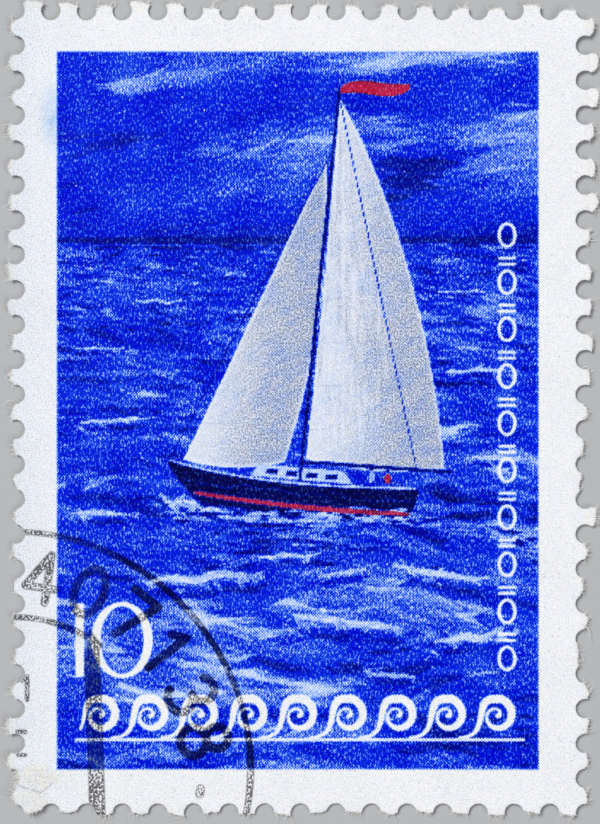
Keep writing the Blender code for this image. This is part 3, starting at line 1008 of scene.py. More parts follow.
    # The punched edge is rounded over a little on the printed side.
    lip = np.zeros(total)
    lip[: starts[1]] = 0.016
    grid_far = far[used]
    lip[starts[1] : starts[2]] = 0.010 * smooth(0.14, 0.0, grid_far)
    lip[starts[2] : starts[3]] = 0.010 * smooth(0.14, 0.0, far[loose])
    z = z - lip
    global BASE_LOW
    BASE_LOW = float(low.min())
    z = z - BASE_LOW
    # Torn tips are rough: their face and back are frayed by a few hundredths.
    rough = 0.020 * (fbm(x * 11, y * 11, 2, 760) - 0.5) * smooth(-0.15, 0.2, reach)
    z = np.maximum(z + rough, 0.0)
    verts = np.stack([x, y, z], axis=1) * MM

    # Local strip index -> vertex index.
    strip_map = np.empty(len(local), int)
    strip_map[:n] = np.arange(n)
    strip_map[n : n + len(rim_points)] = starts[1] + rim_points
    strip_map[n + len(rim_points) :] = starts[2] + np.arange(len(loose_xy))
    face_tris = strip_map[tris]
    back_map = np.concatenate([starts[4] + np.arange(n), starts[5] + np.arange(len(back_xy))])
    back_faces = back_map[back_tris][:, ::-1]
    i = np.arange(n)
    j = (i + 1) % n
    wall_a = np.stack([i, starts[3] + i, starts[3] + j, j], axis=1)
    wall_b = np.stack([starts[3] + i, starts[4] + i, starts[4] + j, starts[3] + j], axis=1)

    quad_faces = [starts[1] + quads, wall_a, wall_b]
    tri_faces = [face_tris, back_faces]
    loops = np.concatenate([f.ravel() for f in quad_faces + tri_faces])
    sizes = np.concatenate([np.full(len(f), f.shape[1]) for f in quad_faces + tri_faces])
    mesh = bpy.data.meshes.new("stamp_sheet")
    mesh.vertices.add(total)
    mesh.vertices.foreach_set("co", verts.ravel())
    mesh.loops.add(len(loops))
    mesh.loops.foreach_set("vertex_index", loops.astype(np.int32))
    mesh.polygons.add(len(sizes))
    begin = np.concatenate([[0], np.cumsum(sizes)[:-1]])
    mesh.polygons.foreach_set("loop_start", begin.astype(np.int32))
    mesh.polygons.foreach_set("use_smooth", np.ones(len(sizes), bool))
    mesh.update(calc_edges=True)
    mesh.validate()

    # The rims of the face and of the back are sharp.
    ev = np.empty(len(mesh.edges) * 2, np.int32)
    mesh.edges.foreach_get("vertices", ev)
    ev = ev.reshape(-1, 2)
    both_top = (ev < n).all(axis=1) & ((np.abs(ev[:, 0] - ev[:, 1]) == 1) | (np.abs(ev[:, 0] - ev[:, 1]) == n - 1))
    low_ids = (ev >= starts[4]) & (ev < starts[5])
    both_low = low_ids.all(axis=1) & ((np.abs(ev[:, 0] - ev[:, 1]) == 1) | (np.abs(ev[:, 0] - ev[:, 1]) == n - 1))
    mesh.edges.foreach_set("use_edge_sharp", both_top | both_low)

    # One UV map: the face fills most of it, the back and the thin walls the rest.
    span = 38.9
    uv_face = np.stack([(x + 13.95) / span + 0.001, (y + 19.35) / span + 0.001], axis=1)
    back_span = 27.9 / 0.262
    uv_back = np.stack([0.728 + (13.95 - x) / back_span, 0.004 + (y + 19.4) / back_span], axis=1)
    uv = np.empty((len(loops), 2))
    n_quads = len(quads) * 4
    n_wall = n * 4
    uv[:n_quads] = uv_face[loops[:n_quads]]
    run = np.concatenate([[0], np.cumsum(np.hypot(*(np.roll(ring, -1, axis=0) - ring).T))])
    row_len = 0.262 * span
    for w in range(2):
        lo = n_quads + w * n_wall
        row = np.floor(run[:-1] / row_len)
        u0 = run[:-1] - row * row_len
        u1 = u0 + (run[1:] - run[:-1])
        v0 = 0.40 + row * 0.0105 + (1 - w) * 0.0030
        block = np.empty((n, 4, 2))
        block[:, 0] = np.stack([0.728 + u0 / span, v0 + 0.0030], axis=1)
        block[:, 1] = np.stack([0.728 + u0 / span, v0], axis=1)
        block[:, 2] = np.stack([0.728 + u1 / span, v0], axis=1)
        block[:, 3] = np.stack([0.728 + u1 / span, v0 + 0.0030], axis=1)
        uv[lo : lo + n_wall] = block.reshape(-1, 2)
    lo = n_quads + 2 * n_wall
    k = len(face_tris) * 3
    uv[lo : lo + k] = uv_face[loops[lo : lo + k]]
    uv[lo + k :] = uv_back[loops[lo + k :]]
    layer = mesh.uv_layers.new(name="OFBake")
    layer.data.foreach_set("uv", uv.astype(np.float32).ravel())

    # The inks and wear, as attributes that the material reads; also the crease lines and the distance to the outline,
    # where the material paints shade.
    for name, field in fields.items():
        values = sample(field, x, y, canvas).astype(np.float32)
        layer = mesh.attributes.new(name, "FLOAT", "POINT")
        layer.data.foreach_set("value", values)
    edge = np.full(total, 0.3)
    edge[: starts[1]] = 0.0
    edge[starts[1] : starts[2]] = grid_far
    edge[starts[2] : starts[3]] = far[loose]
    edge[starts[3] : starts[5]] = 0.0
    for name, values in (("face", face_side), ("tear", tear * torn_side(x, y)), ("edge", edge)):
        layer = mesh.attributes.new(name, "FLOAT", "POINT")
        layer.data.foreach_set("value", values.astype(np.float32))
    sheet = bpy.data.objects.new("stamp_sheet", mesh)
    bpy.context.scene.collection.objects.link(sheet)
    print("sheet:", total, "vertices,", int((sizes - 2).sum()), "triangles")
    return sheet, ring, tips, out
# ---------------------------------------------------------------------------
# Torn paper fibres at the tips of the teeth, joined into one mesh.
# ---------------------------------------------------------------------------


def fibre_tube(path, radii, sides, twist):
    """Ring by ring points of one thin ribbon-like tube."""
    path = np.asarray(path)
    steps = np.gradient(path, axis=0)
    steps /= np.linalg.norm(steps, axis=1)[:, None] + 1e-12
    up = np.array([0.0, 0.0, 1.0])
    side = np.cross(steps, up)
    length = np.linalg.norm(side, axis=1)[:, None]
    side = np.where(length > 1e-4, side / (length + 1e-12), np.array([1.0, 0.0, 0.0]))
    other = np.cross(side, steps)
    rings = []
    for i, (p, r) in enumerate(zip(path, radii)):
        for k in range(sides):
            a = 2 * math.pi * k / sides + twist
            # Fibres are flat ribbons more than round hairs.
            rings.append(p + side[i] * math.cos(a) * r + other[i] * math.sin(a) * r * 0.55)
    return rings


def build_fibres(ring, tips, out):
    dice = random.Random(5521)
    verts, quads, uvs, tones = [], [], [], []
    count = [0]

    def grow(x, y, z, heading, length, radius, curl, lift, pale):
        fine = length >= 0.35
        steps = 3 if length < 0.16 else 5 if not fine else 10 if length < 0.7 else 18
        path, a = [], heading
        px, py, pz = x, y, z
        swing = dice.gauss(0, 0.5)
        for i in range(steps + 1):
            t = i / steps
            path.append((px, py, max(pz, radius * 0.6)))
            a += curl / steps * (1.0 + swing * math.sin(5 * t)) + dice.gauss(0, 0.13)
            px += math.cos(a) * length / steps
            py += math.sin(a) * length / steps
            pz += lift / steps * (1.6 - 2.2 * t) + dice.gauss(0, 0.003)
        radii = [radius * (0.9 if i == 0 else (1 - (i / steps) ** 3 * 0.70)) for i in range(steps + 1)]
        sides = 5 if fine else 4
        base = len(verts)
        verts.extend(fibre_tube(path, radii, sides, dice.uniform(0, 1)))
        cell = count[0] % 6400
        u0, v0 = (cell % 80) / 80 + 0.0015, (cell // 80) / 80 + 0.0015
        for i in range(steps):
            for k in range(sides):
                k2 = (k + 1) % sides
                quads.append((base + i * sides + k, base + i * sides + k2, base + (i + 1) * sides + k2, base + (i + 1) * sides + k))
                ua, ub = u0 + 0.0095 * i / steps, u0 + 0.0095 * (i + 1) / steps
                va, vb = v0 + 0.0095 * k / sides, v0 + 0.0095 * (k + 1) / sides
                uvs.extend(((ua, va), (ua, vb), (ub, vb), (ub, va)))
        # Closed ends.
        for i, flip in ((0, True), (steps, False)):
            loop = [base + i * sides + k for k in range(sides)]
            quads.append(tuple(loop[::-1] if flip else loop))
            uvs.extend([(u0 + 0.0095 * (i > 0), v0 + 0.0019 * k) for k in range(sides)])
        tones.extend([pale] * (sides * (steps + 1)))
        count[0] += 1

    n = len(ring)
    rise = sheet_rise(ring[:, 0], ring[:, 1])
    base_low = BASE_LOW
    for i in range(n):
        tooth = tips[i]
        x, y = ring[i]
        heading = math.atan2(out[i, 1], out[i, 0])
        floor_gap = rise[i] - base_low
        if tooth is not None:
            name, k, u = tooth
            short = ODD_TEETH.get((name, k), 0) < -0.08
            # Tufts: the paper pulls apart in bundles, so some of a tip is bare.
            tuft = float(value_noise(np.array([x * 3.1]), np.array([y * 3.1]), 5600)[0])
            shaggy = 0.35 + 1.5 * tuft * tuft
            if name == "bottom" and x > 2 or name == "right" and y < 4:
                shaggy *= 1.35
            if name == "left" and k >= 20 or name == "bottom" and k == 0 or short:
                shaggy *= 1.5
            lean = 0.9 * (float(value_noise(np.array([x * 1.7]), np.array([y * 1.7]), 5610)[0]) - 0.5)
            for _ in range(3):
                if dice.random() < 0.58 * shaggy:
                    length = min(0.045 + dice.expovariate(1 / (0.045 + 0.055 * tuft)), 0.42)
                    grow(x - out[i, 0] * 0.05, y - out[i, 1] * 0.05, floor_gap + dice.uniform(0.02, 0.10),
                         heading + lean + dice.gauss(0, 0.50), length + 0.05, dice.uniform(0.0065, 0.0125),
                         dice.gauss(0, 0.9), dice.gauss(0.0, 0.04), dice.uniform(0.45, 1.0))
            if dice.random() < 0.026 * shaggy:
                grow(x - out[i, 0] * 0.08, y - out[i, 1] * 0.08, floor_gap + dice.uniform(0.02, 0.07),
                     heading + dice.gauss(0, 0.8), dice.uniform(0.40, 1.10), dice.uniform(0.0085, 0.0125),
                     dice.choice((-1, 1)) * dice.uniform(1.2, 4.8), dice.gauss(0.0, 0.05), dice.uniform(0.75, 1.0))
        elif dice.random() < 0.06:
            grow(x - out[i, 0] * 0.03, y - out[i, 1] * 0.03, floor_gap + dice.uniform(0.02, 0.08),
                 heading + dice.gauss(0, 0.8), dice.uniform(0.08, 0.22), dice.uniform(0.005, 0.008),
                 dice.gauss(0, 1.2), dice.gauss(0, 0.03), dice.uniform(0.4, 1.0))
    # The hole whose disc was torn, not punched: a fuzz of fibres fills it.
    hole = np.array([-WIDTH / 2, HEIGHT / 2 - 22 * PITCH_LONG]) - MIDDLE
    for _ in range(260):
        v = dice.uniform(-0.46, 0.46)
        wall = 0.42 * math.sqrt(max(HOLE_RADIUS**2 - v * v, 0.0))
        x, y = hole[0] + wall + 0.05, hole[1] + v
        gap = float(sheet_rise(np.array([x]), np.array([y]))[0]) - base_low
        grow(x, y, gap + dice.uniform(0.015, 0.10), math.pi + 0.5 * v + dice.gauss(0, 0.42),
             0.06 + min(dice.expovariate(1 / 0.11), 0.42), dice.uniform(0.0065, 0.0120),
             dice.gauss(0, 0.8), dice.gauss(0.0, 0.03), dice.uniform(0.5, 1.0))
    mesh = bpy.data.meshes.new("torn_fibres")
    mesh.from_pydata([(float(p[0]) * MM, float(p[1]) * MM, float(p[2]) * MM) for p in verts], [], quads)
    mesh.polygons.foreach_set("use_smooth", np.ones(len(quads), bool))
    layer = mesh.uv_layers.new(name="OFBake")
    layer.data.foreach_set("uv", np.array(uvs, np.float32).ravel())
    shade = mesh.attributes.new("pale", "FLOAT", "POINT")
    shade.data.foreach_set("value", np.array(tones, np.float32))
    fibres = bpy.data.objects.new("torn_fibres", mesh)
    bpy.context.scene.collection.objects.link(fibres)
    print("fibres:", count[0], "of", len(quads), "faces")
    return fibres
# ---------------------------------------------------------------------------
# Materials. Ink is a film on the paper: each ink dims each colour by a power
# of how thick it lies, so thin films stay clear and bright, as on the print.
# ---------------------------------------------------------------------------

PAPER = (0.862, 0.874, 0.904)
CREAM = (0.865, 0.828, 0.755)
BLUE_INK = (0.0048, 0.0610, 0.845)  # what full films let through, by colour
BLACK_INK = (0.22, 0.24, 0.37)
GREY_INK = (0.36, 0.41, 0.56)
RED_INK = (0.60, 0.018, 0.085)
POST_INK = (0.135, 0.130, 0.130)
POST_ON_BLUE = (0.105, 0.110, 0.185)
SCREEN_PITCH = 0.0962


class Nodes:
    """Builds one material's nodes; a number, a socket or a vector goes in anywhere."""

    def __init__(self, name):
        self.material = bpy.data.materials.new(name)
        self.material.use_nodes = True
        self.tree = self.material.node_tree
        self.tree.nodes.clear()

    def new(self, kind, **settings):
        node = self.tree.nodes.new(kind)
        for key, value in settings.items():
            setattr(node, key, value)
        return node

    def put(self, socket, value):
        if isinstance(value, bpy.types.NodeSocket):
            self.tree.links.new(value, socket)
        elif value is not None:
            if hasattr(socket.default_value, "__len__") and not hasattr(value, "__len__"):
                value = [value] * len(socket.default_value)
            if hasattr(value, "__len__") and len(socket.default_value) == 4 and len(value) == 3:
                value = (*value, 1.0)
            socket.default_value = value

    def math(self, operation, a, b=None, c=None, clamp=False):
        node = self.new("ShaderNodeMath", operation=operation, use_clamp=clamp)
        for socket, value in zip(node.inputs, (a, b, c)):
            self.put(socket, value)
        return node.outputs[0]

    def add(self, a, b):
        return self.math("ADD", a, b)

    def sub(self, a, b):
        return self.math("SUBTRACT", a, b)

    def mul(self, a, b):
        return self.math("MULTIPLY", a, b)

    def most(self, a, b):
        return self.math("MAXIMUM", a, b)

    def madd(self, a, b, c):
        return self.math("MULTIPLY_ADD", a, b, c)

    def vector(self, operation, a, b=None, scale=None):
        node = self.new("ShaderNodeVectorMath", operation=operation)
        self.put(node.inputs[0], a)
        if b is not None:
            self.put(node.inputs[1], b)
        if scale is not None:
            self.put(node.inputs["Scale"], scale)
        return node.outputs[0]

    def join(self, x, y, z=0.0):
        node = self.new("ShaderNodeCombineXYZ")
        for socket, value in zip(node.inputs, (x, y, z)):
            self.put(socket, value)
        return node.outputs[0]

    def ramp(self, value, low, high, to_low=0.0, to_high=1.0, kind="SMOOTHSTEP"):
        node = self.new("ShaderNodeMapRange", interpolation_type=kind)
        for socket, item in zip(node.inputs, (value, low, high, to_low, to_high)):
            self.put(socket, item)
        return node.outputs[0]

    def noise(self, vector, scale=1.0, detail=2.0, rough=0.5, distortion=0.0, flat=True):
        node = self.new("ShaderNodeTexNoise", noise_dimensions="2D" if flat else "3D")
        self.put(node.inputs["Vector"], vector)
        self.put(node.inputs["Scale"], scale)
        self.put(node.inputs["Detail"], detail)
        self.put(node.inputs["Roughness"], rough)
        self.put(node.inputs["Distortion"], distortion)
        return node.outputs["Fac"]

    def attribute(self, name):
        return self.new("ShaderNodeAttribute", attribute_name=name, attribute_type="GEOMETRY").outputs["Fac"]

    def blend(self, factor, a, b, mode="MIX"):
        node = self.new("ShaderNodeMix", data_type="RGBA", blend_type=mode)
        self.put(node.inputs["Factor"], factor)
        self.put(node.inputs["A"], None)
        sockets = [s for s in node.inputs if s.type == "RGBA"]
        self.put(sockets[0], a)
        self.put(sockets[1], b)
        return [s for s in node.outputs if s.type == "RGBA"][0]

    def place(self):
        """Object coordinates in mm, and x and y apart."""
        coords = self.new("ShaderNodeTexCoord").outputs["Object"]
        millimetres = self.vector("SCALE", coords, scale=1000.0)
        node = self.new("ShaderNodeSeparateXYZ")
        self.tree.links.new(millimetres, node.inputs[0])
        return millimetres, node.outputs[0], node.outputs[1], node.outputs[2]

    def finish(self, colour, roughness, specular, height, distance, strength=1.0):
        shader = self.new("ShaderNodeBsdfPrincipled")
        self.put(shader.inputs["Base Color"], colour)
        self.put(shader.inputs["Roughness"], roughness)
        shader.inputs["Specular IOR Level"].default_value = specular
        shader.inputs["Metallic"].default_value = 0.0
        if height is not None:
            bump = self.new("ShaderNodeBump")
            self.put(bump.inputs["Height"], height)
            bump.inputs["Distance"].default_value = distance
            bump.inputs["Strength"].default_value = strength
            self.tree.links.new(bump.outputs[0], shader.inputs["Normal"])
        out = self.new("ShaderNodeOutputMaterial")
        self.tree.links.new(shader.outputs[0], out.inputs["Surface"])
        return self.material


def film(n, thickness, ink):
    """How much a film takes away, as a vector of logarithms."""
    return n.vector("SCALE", tuple(-math.log(v) for v in ink), scale=thickness)


def sheet_material():
    n = Nodes("stamp_paper_and_inks")
    mm, x, y, z = n.place()
    tone, grey, red = (n.attribute(k) for k in ("tone", "grey", "red"))
    post, white, panel = (n.attribute(k) for k in ("post", "white", "panel"))
    face, tear, wear, edge = (n.attribute(k) for k in ("face", "tear", "wear", "edge"))
    crease = n.attribute("crease")
    front = n.ramp(face, 0.80, 1.0)

    # The printing cylinder's screen: small cells in rows at 45 degrees.
    k = 2 * math.pi / (math.sqrt(2) * SCREEN_PITCH)
    cell_u = n.mul(n.add(x, y), k)
    cell_v = n.mul(n.sub(x, y), k)
    screen = n.madd(n.add(n.math("COSINE", cell_u), n.math("COSINE", cell_v)), 0.25, 0.5)

    # The film is uneven: it is thin in short upright flecks, and some cells stayed dry.
    patchy = n.noise(n.join(n.mul(x, 0.55), n.mul(y, 0.45)), detail=2.0)
    flecks = n.noise(n.join(n.mul(x, 12.5), n.mul(y, 5.4)), detail=1.4, rough=0.60)
    grains = n.noise(mm, 13.5, 1.0, 0.6)
    # Full films lie calm and deep, with a few bright flecks; the middle tones are the most broken.
    lively = n.mul(n.ramp(tone, 0.66, 1.02, 1.0, 0.30), n.ramp(tone, 0.05, 0.45, 0.50, 1.0))
    uneven = n.madd(n.sub(flecks, 0.5), 3.9, n.mul(n.sub(grains, 0.5), 2.4))
    uneven = n.madd(n.sub(patchy, 0.5), 1.2, n.mul(uneven, lively))
    uneven = n.madd(n.ramp(n.madd(grains, 0.25, flecks), 0.735, 0.800), 0.95, uneven)
    uneven = n.math("EXPONENT", n.mul(uneven, -1.0))
    lost_cell = n.new("ShaderNodeTexWhiteNoise", noise_dimensions="2D")
    n.put(lost_cell.inputs["Vector"], n.join(
        n.math("FLOOR", n.mul(cell_u, 0.5 / math.pi)), n.math("FLOOR", n.mul(cell_v, 0.5 / math.pi))))
    lost = n.mul(n.ramp(lost_cell.outputs["Value"], 0.980, 0.988), n.ramp(grains, 0.42, 0.58))

    # Edges of the panel and of what it leaves white, toothed by the screen.
    toothed = n.madd(n.sub(screen, 0.5), 0.065, n.mul(n.sub(grains, 0.5), 0.06))
    in_panel = n.ramp(n.add(panel, toothed), -0.070, 0.075)
    unprinted = n.ramp(n.add(white, toothed), -0.055, 0.055)
    printed = n.mul(in_panel, n.mul(n.sub(1.0, unprinted), front))

    # Blue plate: dots in the light tones, a nearly full film in the solids.
    solid = n.math("MINIMUM", tone, 1.0)
    mean = n.mul(solid, n.madd(solid, 1.25, 0.42))
    swing = n.madd(n.sub(1.0, solid), 1.15, 0.32)
    dots = n.most(n.madd(n.mul(n.sub(screen, 0.5), 2.0), swing, 1.0), 0.0)
    blue = n.mul(n.mul(mean, dots), n.mul(uneven, n.madd(lost, -0.8, 1.0)))
    blue = n.mul(n.math("MINIMUM", blue, 2.6), printed)
    # Black plate in the darkest water and on the hull, also in dots.
    dark = n.ramp(tone, 1.0, 1.65, 0.0, 2.3, "LINEAR")
    dark = n.mul(dark, n.math("MINIMUM", n.math("POWER", uneven, 0.6), 1.5))
    dark = n.mul(n.mul(dark, n.madd(n.sub(screen, 0.5), 0.5, n.madd(grains, 0.8, 0.60))), printed)
    # Grey plate over the sails, in finer dots along one diagonal.
    hatch = n.math("SINE", n.mul(n.add(x, n.mul(y, 0.92)), 2 * math.pi / 0.125))
    grey_dots = n.mul(grey, n.madd(n.add(n.mul(hatch, 0.45), n.mul(n.sub(screen, 0.5), 1.2)), 0.8, 1.0))
    # Bright specks where the grey film missed the paper, and dark grit between them.
    sparkle = n.noise(n.join(n.add(n.mul(x, 13.5), 40.0), n.mul(y, 11.0)), detail=1.5, rough=0.6)
    missed = n.ramp(sparkle, 0.50, 0.62)
    grit = n.mul(n.mul(n.most(n.sub(0.585, sparkle), 0.0), 3.5), n.mul(n.ramp(grey, 0.02, 0.45), printed))
    grey_dots = n.mul(n.mul(n.most(grey_dots, 0.0), n.madd(grains, 0.8, 0.6)), n.mul(printed, n.madd(missed, -0.70, 0.90)))
    crimson = n.mul(n.ramp(n.add(red, n.mul(n.sub(screen, 0.5), 0.28)), 0.38, 0.66), printed)
    crimson = n.mul(crimson, n.math("POWER", uneven, 0.45))

    # Cancelling ink: greasy, mottled and worn off in specks, which show least over blue.
    press = n.noise(mm, 0.75, 2.0)
    speck = n.noise(n.join(n.mul(x, 10.5), n.mul(y, 9.0)), detail=1.6, rough=0.62)
    over_blue = n.mul(printed, n.ramp(tone, 0.12, 0.58))
    heavy = n.mul(n.ramp(n.sub(x, PANEL_X0), 2.4, 3.3), n.ramp(n.sub(y, PANEL_Y0), 12.5, 9.5))
    holes = n.ramp(n.madd(n.sub(press, 0.5), -0.22, speck), 0.470, 0.570)
    frayed = n.madd(n.sub(speck, 0.5), 0.13, post)
    inked = n.ramp(frayed, -0.045, 0.050)
    lost_ink = n.mul(holes, n.madd(over_blue, -0.62, n.ramp(post, -0.02, 0.10, 0.66, 0.98)))
    stamped = n.mul(inked, n.sub(1.0, lost_ink))
    stamped = n.mul(n.mul(stamped, n.madd(press, 0.6, 0.60)), front)
    stamped_blue = n.mul(stamped, n.mul(over_blue, n.madd(heavy, 0.68, 0.82)))
    stamped = n.mul(stamped, n.sub(1.0, over_blue))

    # A smear of blue in the left margin, and a faint bluish tint that fades in from the left edge; old glue's yellow at
    # the worn corner comes with the torn cream further down.
    sx = n.mul(n.sub(x, PANEL_X0 - 0.28), 2.4)
    sy = n.mul(n.sub(y, PANEL_Y0 + 30.5), 0.85)
    around = n.math("EXPONENT", n.mul(n.add(n.mul(sx, sx), n.mul(sy, sy)), -1.0))
    smear = n.mul(n.mul(around, n.madd(n.noise(n.join(n.mul(x, 1.2), n.mul(y, 0.8)), 2.0, 2.0), 0.13, 0.015)), front)
    lx = n.math("EXPONENT", n.mul(n.add(x, 13.7), -0.55))
    cool = n.mul(n.mul(lx, 0.019), front)

    total = film(n, n.add(n.add(blue, smear), cool), BLUE_INK)
    dusk = n.mul(n.mul(n.most(n.sub(n.noise(n.join(n.mul(x, 17.0), n.mul(y, 13.0)), detail=1.0), 0.42), 0.0), n.math("MINIMUM", blue, 1.0)), 3.3)
    total = n.vector("ADD", total, film(n, dusk, (0.45, 0.45, 0.45)))
    total = n.vector("ADD", total, film(n, grit, (0.40, 0.43, 0.52)))
    for thickness, ink in ((dark, BLACK_INK), (grey_dots, GREY_INK), (crimson, RED_INK), (stamped, POST_INK),
                           (stamped_blue, POST_ON_BLUE)):
        total = n.vector("ADD", total, film(n, thickness, ink))
    parts = n.new("ShaderNodeSeparateXYZ")
    n.tree.links.new(total, parts.inputs[0])
    through = n.join(*(n.math("EXPONENT", n.mul(parts.outputs[i], -1.0)) for i in range(3)))

    # Paper: felted fibres, cloudy at a large scale, cream and open where torn.
    along = n.noise(n.join(n.mul(x, 3.2), n.mul(y, 15.0)), detail=3.0, rough=0.6)
    across = n.noise(n.join(n.mul(x, 15.0), n.mul(y, 3.4)), detail=3.0, rough=0.6)
    felt = n.noise(mm, 7.0, 4.0, 0.65, 0.4)
    cloud = n.noise(mm, 0.35, 3.0)
    fibre = n.add(n.mul(n.add(along, across), 0.32), n.mul(felt, 0.36))
    grainy = n.noise(mm, 19.0, 1.5, 0.6)
    light = n.madd(n.sub(fibre, 0.5), 0.80, n.madd(n.sub(grainy, 0.5), 0.88, n.madd(n.sub(cloud, 0.5), 0.10, 1.0)))
    # The left margin and the worn corner are a little duller and rougher.
    dull = n.madd(wear, 0.9, n.mul(lx, 0.55))
    light = n.add(n.madd(dull, -0.045, light), n.mul(n.mul(dull, n.sub(grainy, 0.5)), 1.5))
    base = n.vector("SCALE", PAPER, scale=n.math("MINIMUM", light, 1.09))
    pinkish = n.sub(n.noise(mm, 6.0, 1.5), 0.5)
    bluish = n.sub(n.noise(n.join(n.add(x, 71.0), y), 6.0, 1.5), 0.5)
    base = n.vector("MULTIPLY", base, n.join(n.madd(pinkish, 0.13, 1.0), 1.0, n.madd(bluish, 0.13, 1.0)))
    # Faint blotches, and a few specks of dirt.
    blotch = n.sub(n.noise(n.join(n.add(x, 19.0), y), 1.9, 2.0), 0.5)
    blotch_too = n.sub(n.noise(n.join(n.add(x, 33.0), y), 1.7, 2.0), 0.5)
    base = n.vector("MULTIPLY", base, n.join(n.madd(blotch, 0.10, 1.0), n.madd(blotch, 0.04, 1.0), n.madd(blotch_too, 0.10, 1.0)))
    dirt = n.mul(n.ramp(n.noise(n.join(n.add(x, 57.0), y), 5.5, 1.0), 0.775, 0.83), front)
    base = n.vector("SCALE", base, scale=n.madd(dirt, -0.34, 1.0))
    warm = n.ramp(n.noise(mm, 2.3, 3.0, 0.6), 0.40, 0.66)
    yellowed = n.math("MINIMUM", n.add(n.mul(tear, n.madd(warm, 0.55, 0.30)), n.mul(wear, n.madd(warm, 0.70, 0.38))), 1.0)
    base = n.blend(yellowed, base, n.vector("SCALE", CREAM, scale=n.madd(n.sub(fibre, 0.5), 1.0, 1.0)))
    # Painted shade: the paper's colour is darkened to 0.9 within 0.09 mm of the cut edge.
    rim = n.ramp(edge, 0.0, 0.09, 0.90, 1.0)
    backed = n.blend(n.ramp(face, 0.75, 0.40), (1, 1, 1), (0.985, 0.955, 0.895))
    ghost = n.mul(n.mul(n.ramp(panel, -0.2, 0.3), n.math("MINIMUM", tone, 1.3)), n.ramp(face, 0.3, 0.1))
    seen = n.vector("SUBTRACT", (1, 1, 1), n.vector("SCALE", (0.085, 0.070, 0.020), scale=ghost))
    colour = n.vector("MULTIPLY", n.vector("MULTIPLY", n.vector("SCALE", base, scale=rim), backed), seen)
    # Painted shade along the two corner cracks: the colour is darkened towards lilac grey there.
    painted_crease_shade = n.mul(n.math("MINIMUM", n.mul(crease, n.madd(grainy, 1.5, 0.25)), 1.0), front)
    colour = n.vector("MULTIPLY", colour, n.blend(painted_crease_shade, (1, 1, 1), (0.56, 0.55, 0.59)))
    colour = n.vector("MULTIPLY", colour, through)
    glow = n.math("MINIMUM", n.mul(blue, 6.0), 1.0)
    colour = n.vector("MULTIPLY", colour, n.blend(glow, (1, 1, 1), (1.0, 1.0, 1.29)))
    colour = n.vector("MINIMUM", colour, (0.99, 0.99, 0.99))

    inkiness = n.math("MINIMUM", n.add(blue, n.mul(crimson, 0.8)), 1.0)
    roughness = n.madd(n.sub(fibre, 0.5), 0.25, n.madd(inkiness, -0.24, 0.66))
    torn_height = n.mul(n.mul(n.noise(mm, 11.0, 3.0, 0.7), n.add(tear, wear)), 3.2)
    height = n.add(n.add(fibre, torn_height), n.mul(inkiness, 0.10))
    return n.finish(colour, roughness, 0.035, height, 0.000010, 0.75)


def fibre_material():
    n = Nodes("torn_paper_fibre")
    mm, x, y, z = n.place()
    pale = n.attribute("pale")
    strand = n.noise(mm, 8.0, 3.0, 0.6, flat=False)
    mixed = n.math("MINIMUM", n.most(n.madd(n.sub(strand, 0.5), 0.7, pale), 0.0), 1.0)
    colour = n.blend(mixed, (0.84, 0.810, 0.745), (0.93, 0.925, 0.910))
    return n.finish(colour, n.madd(strand, 0.2, 0.72), 0.2, n.noise(mm, 60.0, 2.0, flat=False), 0.000003, 0.6)
# ---------------------------------------------------------------------------
# Put together: the inks, the sheet, its fibres, the stage.
# ---------------------------------------------------------------------------


def corner_creases(x, y):
    """Two fine cracks that start at the shallow hole in the lower left corner, along which the material paints shade.
    """
    bend = 0.06 * (fbm(x * 0.8, y * 0.8, 2, 730) - 0.5) + 0.05 * (fbm(x * 4, y * 4, 2, 733) - 0.5)
    fold = (x + 13.20) * 0.295 + (y + 17.69) * 0.955 + bend
    crack = np.exp(-((fold / 0.032) ** 2)) * smooth(1.05, 0.80, x + 13.20) * smooth(-0.25, 0.0, x + 13.20)
    second = (x + 12.28) * 0.555 - (y + 17.97) * 0.832 + bend
    run = (x + 12.28) * 0.832 + (y + 17.97) * 0.555
    branch = np.exp(-((second / 0.030) ** 2)) * smooth(0.85, 0.55, run) * smooth(-0.12, 0.02, run)
    return np.clip(crack + 0.85 * branch, 0, 1)


def worn_corner(canvas):
    """Rubbed, creamy paper in two places at the lower left corner."""
    x, y = canvas.X + PANEL_X0, canvas.Y + PANEL_Y0
    uneven = 0.30 * (fbm(x * 2.1, y * 2.1, 3, 770) - 0.5)
    upper = smooth(0.92, 0.42, np.hypot((x + 12.42) * 0.80, (y + 17.22) * 1.25) + uneven)
    lower = smooth(0.95, 0.40, np.hypot((x + 12.75) * 0.85, (y + 18.35) * 1.20) + uneven)
    return np.clip(0.95 * upper + 0.75 * lower, 0, 1)


nx = int(math.ceil((WIDTH + 1.2) / STEP)) + 1
ny = int(math.ceil((HEIGHT + 1.2) / STEP)) + 1
x0 = -((nx - 1) * STEP) / 2 - PANEL_X0
y0 = -((ny - 1) * STEP) / 2 - PANEL_Y0
canvas = paint_picture(x0, y0, STEP, nx, ny)
side = np.minimum(np.minimum(canvas.X, PANEL_W - canvas.X), np.minimum(canvas.Y, PANEL_H - canvas.Y))
panel_depth = np.clip(side, -0.5, 0.5)
# The plate's own contrast: middle tones print deep, and only the lightest stay light.
light_part = np.clip(1 - canvas.tone, 0, 1)
canvas.tone = np.where(canvas.tone < 1, 1 - light_part**1.75, canvas.tone)
fields = {
    "tone": canvas.tone,
    "grey": canvas.grey,
    "red": canvas.red,
    "panel": panel_depth,
    "white": white_marks(canvas),
    "post": postmark(canvas),
    "wear": worn_corner(canvas),
    "crease": corner_creases(canvas.X + PANEL_X0, canvas.Y + PANEL_Y0),
}
sheet, ring, tips, out = build_sheet(canvas, fields)
sheet.data.materials.append(sheet_material())
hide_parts("paper")
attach(sheet, "root")
fibres = build_fibres(ring, tips, out)
fibres.data.materials.append(fibre_material())
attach(fibres, "root")

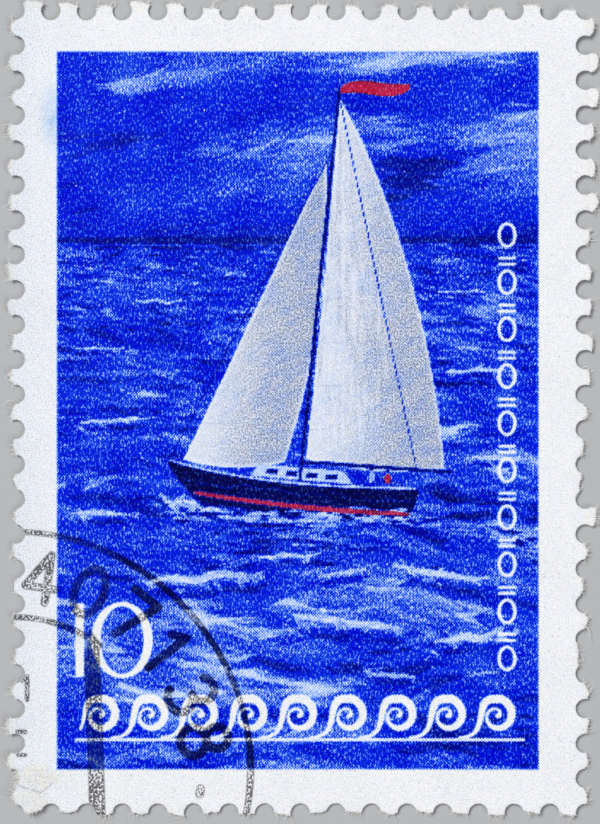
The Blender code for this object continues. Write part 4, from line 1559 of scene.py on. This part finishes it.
# Floor: plain and pale.
floor_mesh = bpy.data.meshes.new("floor")
floor_mesh.from_pydata([(-0.6, -0.6, 0), (0.6, -0.6, 0), (0.6, 0.6, 0), (-0.6, 0.6, 0)], [], [(0, 1, 2, 3)])
floor = bpy.data.objects.new("floor", floor_mesh)
floor.location.z = -0.00001
bpy.context.scene.collection.objects.link(floor)
card = Nodes("floor_card")
floor_mesh.materials.append(card.finish((0.47, 0.475, 0.485), 0.9, 0.1, None, 0.0))


def soft_light(name, place, aim, size, power, colour=(1, 1, 1)):
    light = bpy.data.lights.new(name, "AREA")
    light.shape = "DISK"
    light.size = size
    light.energy = power
    light.color = colour
    lamp = bpy.data.objects.new(name, light)
    lamp.location = place
    lamp.rotation_euler = (Vector(aim) - Vector(place)).to_track_quat("-Z", "Y").to_euler()
    bpy.context.scene.collection.objects.link(lamp)


soft_light("key", (-0.36, 0.32, 0.66), (0, 0, 0), 0.40, KEY_POWER)
soft_light("fill", (0.56, -0.38, 0.56), (0, 0, 0), 0.50, FILL_POWER)
world = bpy.data.worlds.new("studio")
world.use_nodes = True
world.node_tree.nodes["Background"].inputs[0].default_value = (0.97, 0.985, 1.0, 1.0)
world.node_tree.nodes["Background"].inputs[1].default_value = WORLD_LIGHT
bpy.context.scene.world = world

LENS, SENSOR = 0.100, 0.036
VIEW_HEIGHT = 824 / 21.37 * MM
lens_data = bpy.data.cameras.new("camera")
lens_data.lens = LENS * 1000
lens_data.sensor_width = SENSOR * 1000
lens_data.clip_start = 0.001
lens_data.clip_end = 10
camera = bpy.data.objects.new("camera", lens_data)
centre = (-MIDDLE[0] * MM - 0.25 / 21.37 * MM, -MIDDLE[1] * MM - 0.15 / 21.37 * MM)
camera.location = (centre[0], centre[1], VIEW_HEIGHT * LENS / SENSOR + 0.15 * MM)
bpy.context.scene.collection.objects.link(camera)
bpy.context.scene.camera = camera
bpy.context.scene.view_settings.view_transform = "Standard"
bpy.context.scene.view_settings.look = "None"
# The print's screen is as fine as the picture's own grain, and a denoiser would wipe it out.
bpy.context.scene.cycles.use_denoising = False
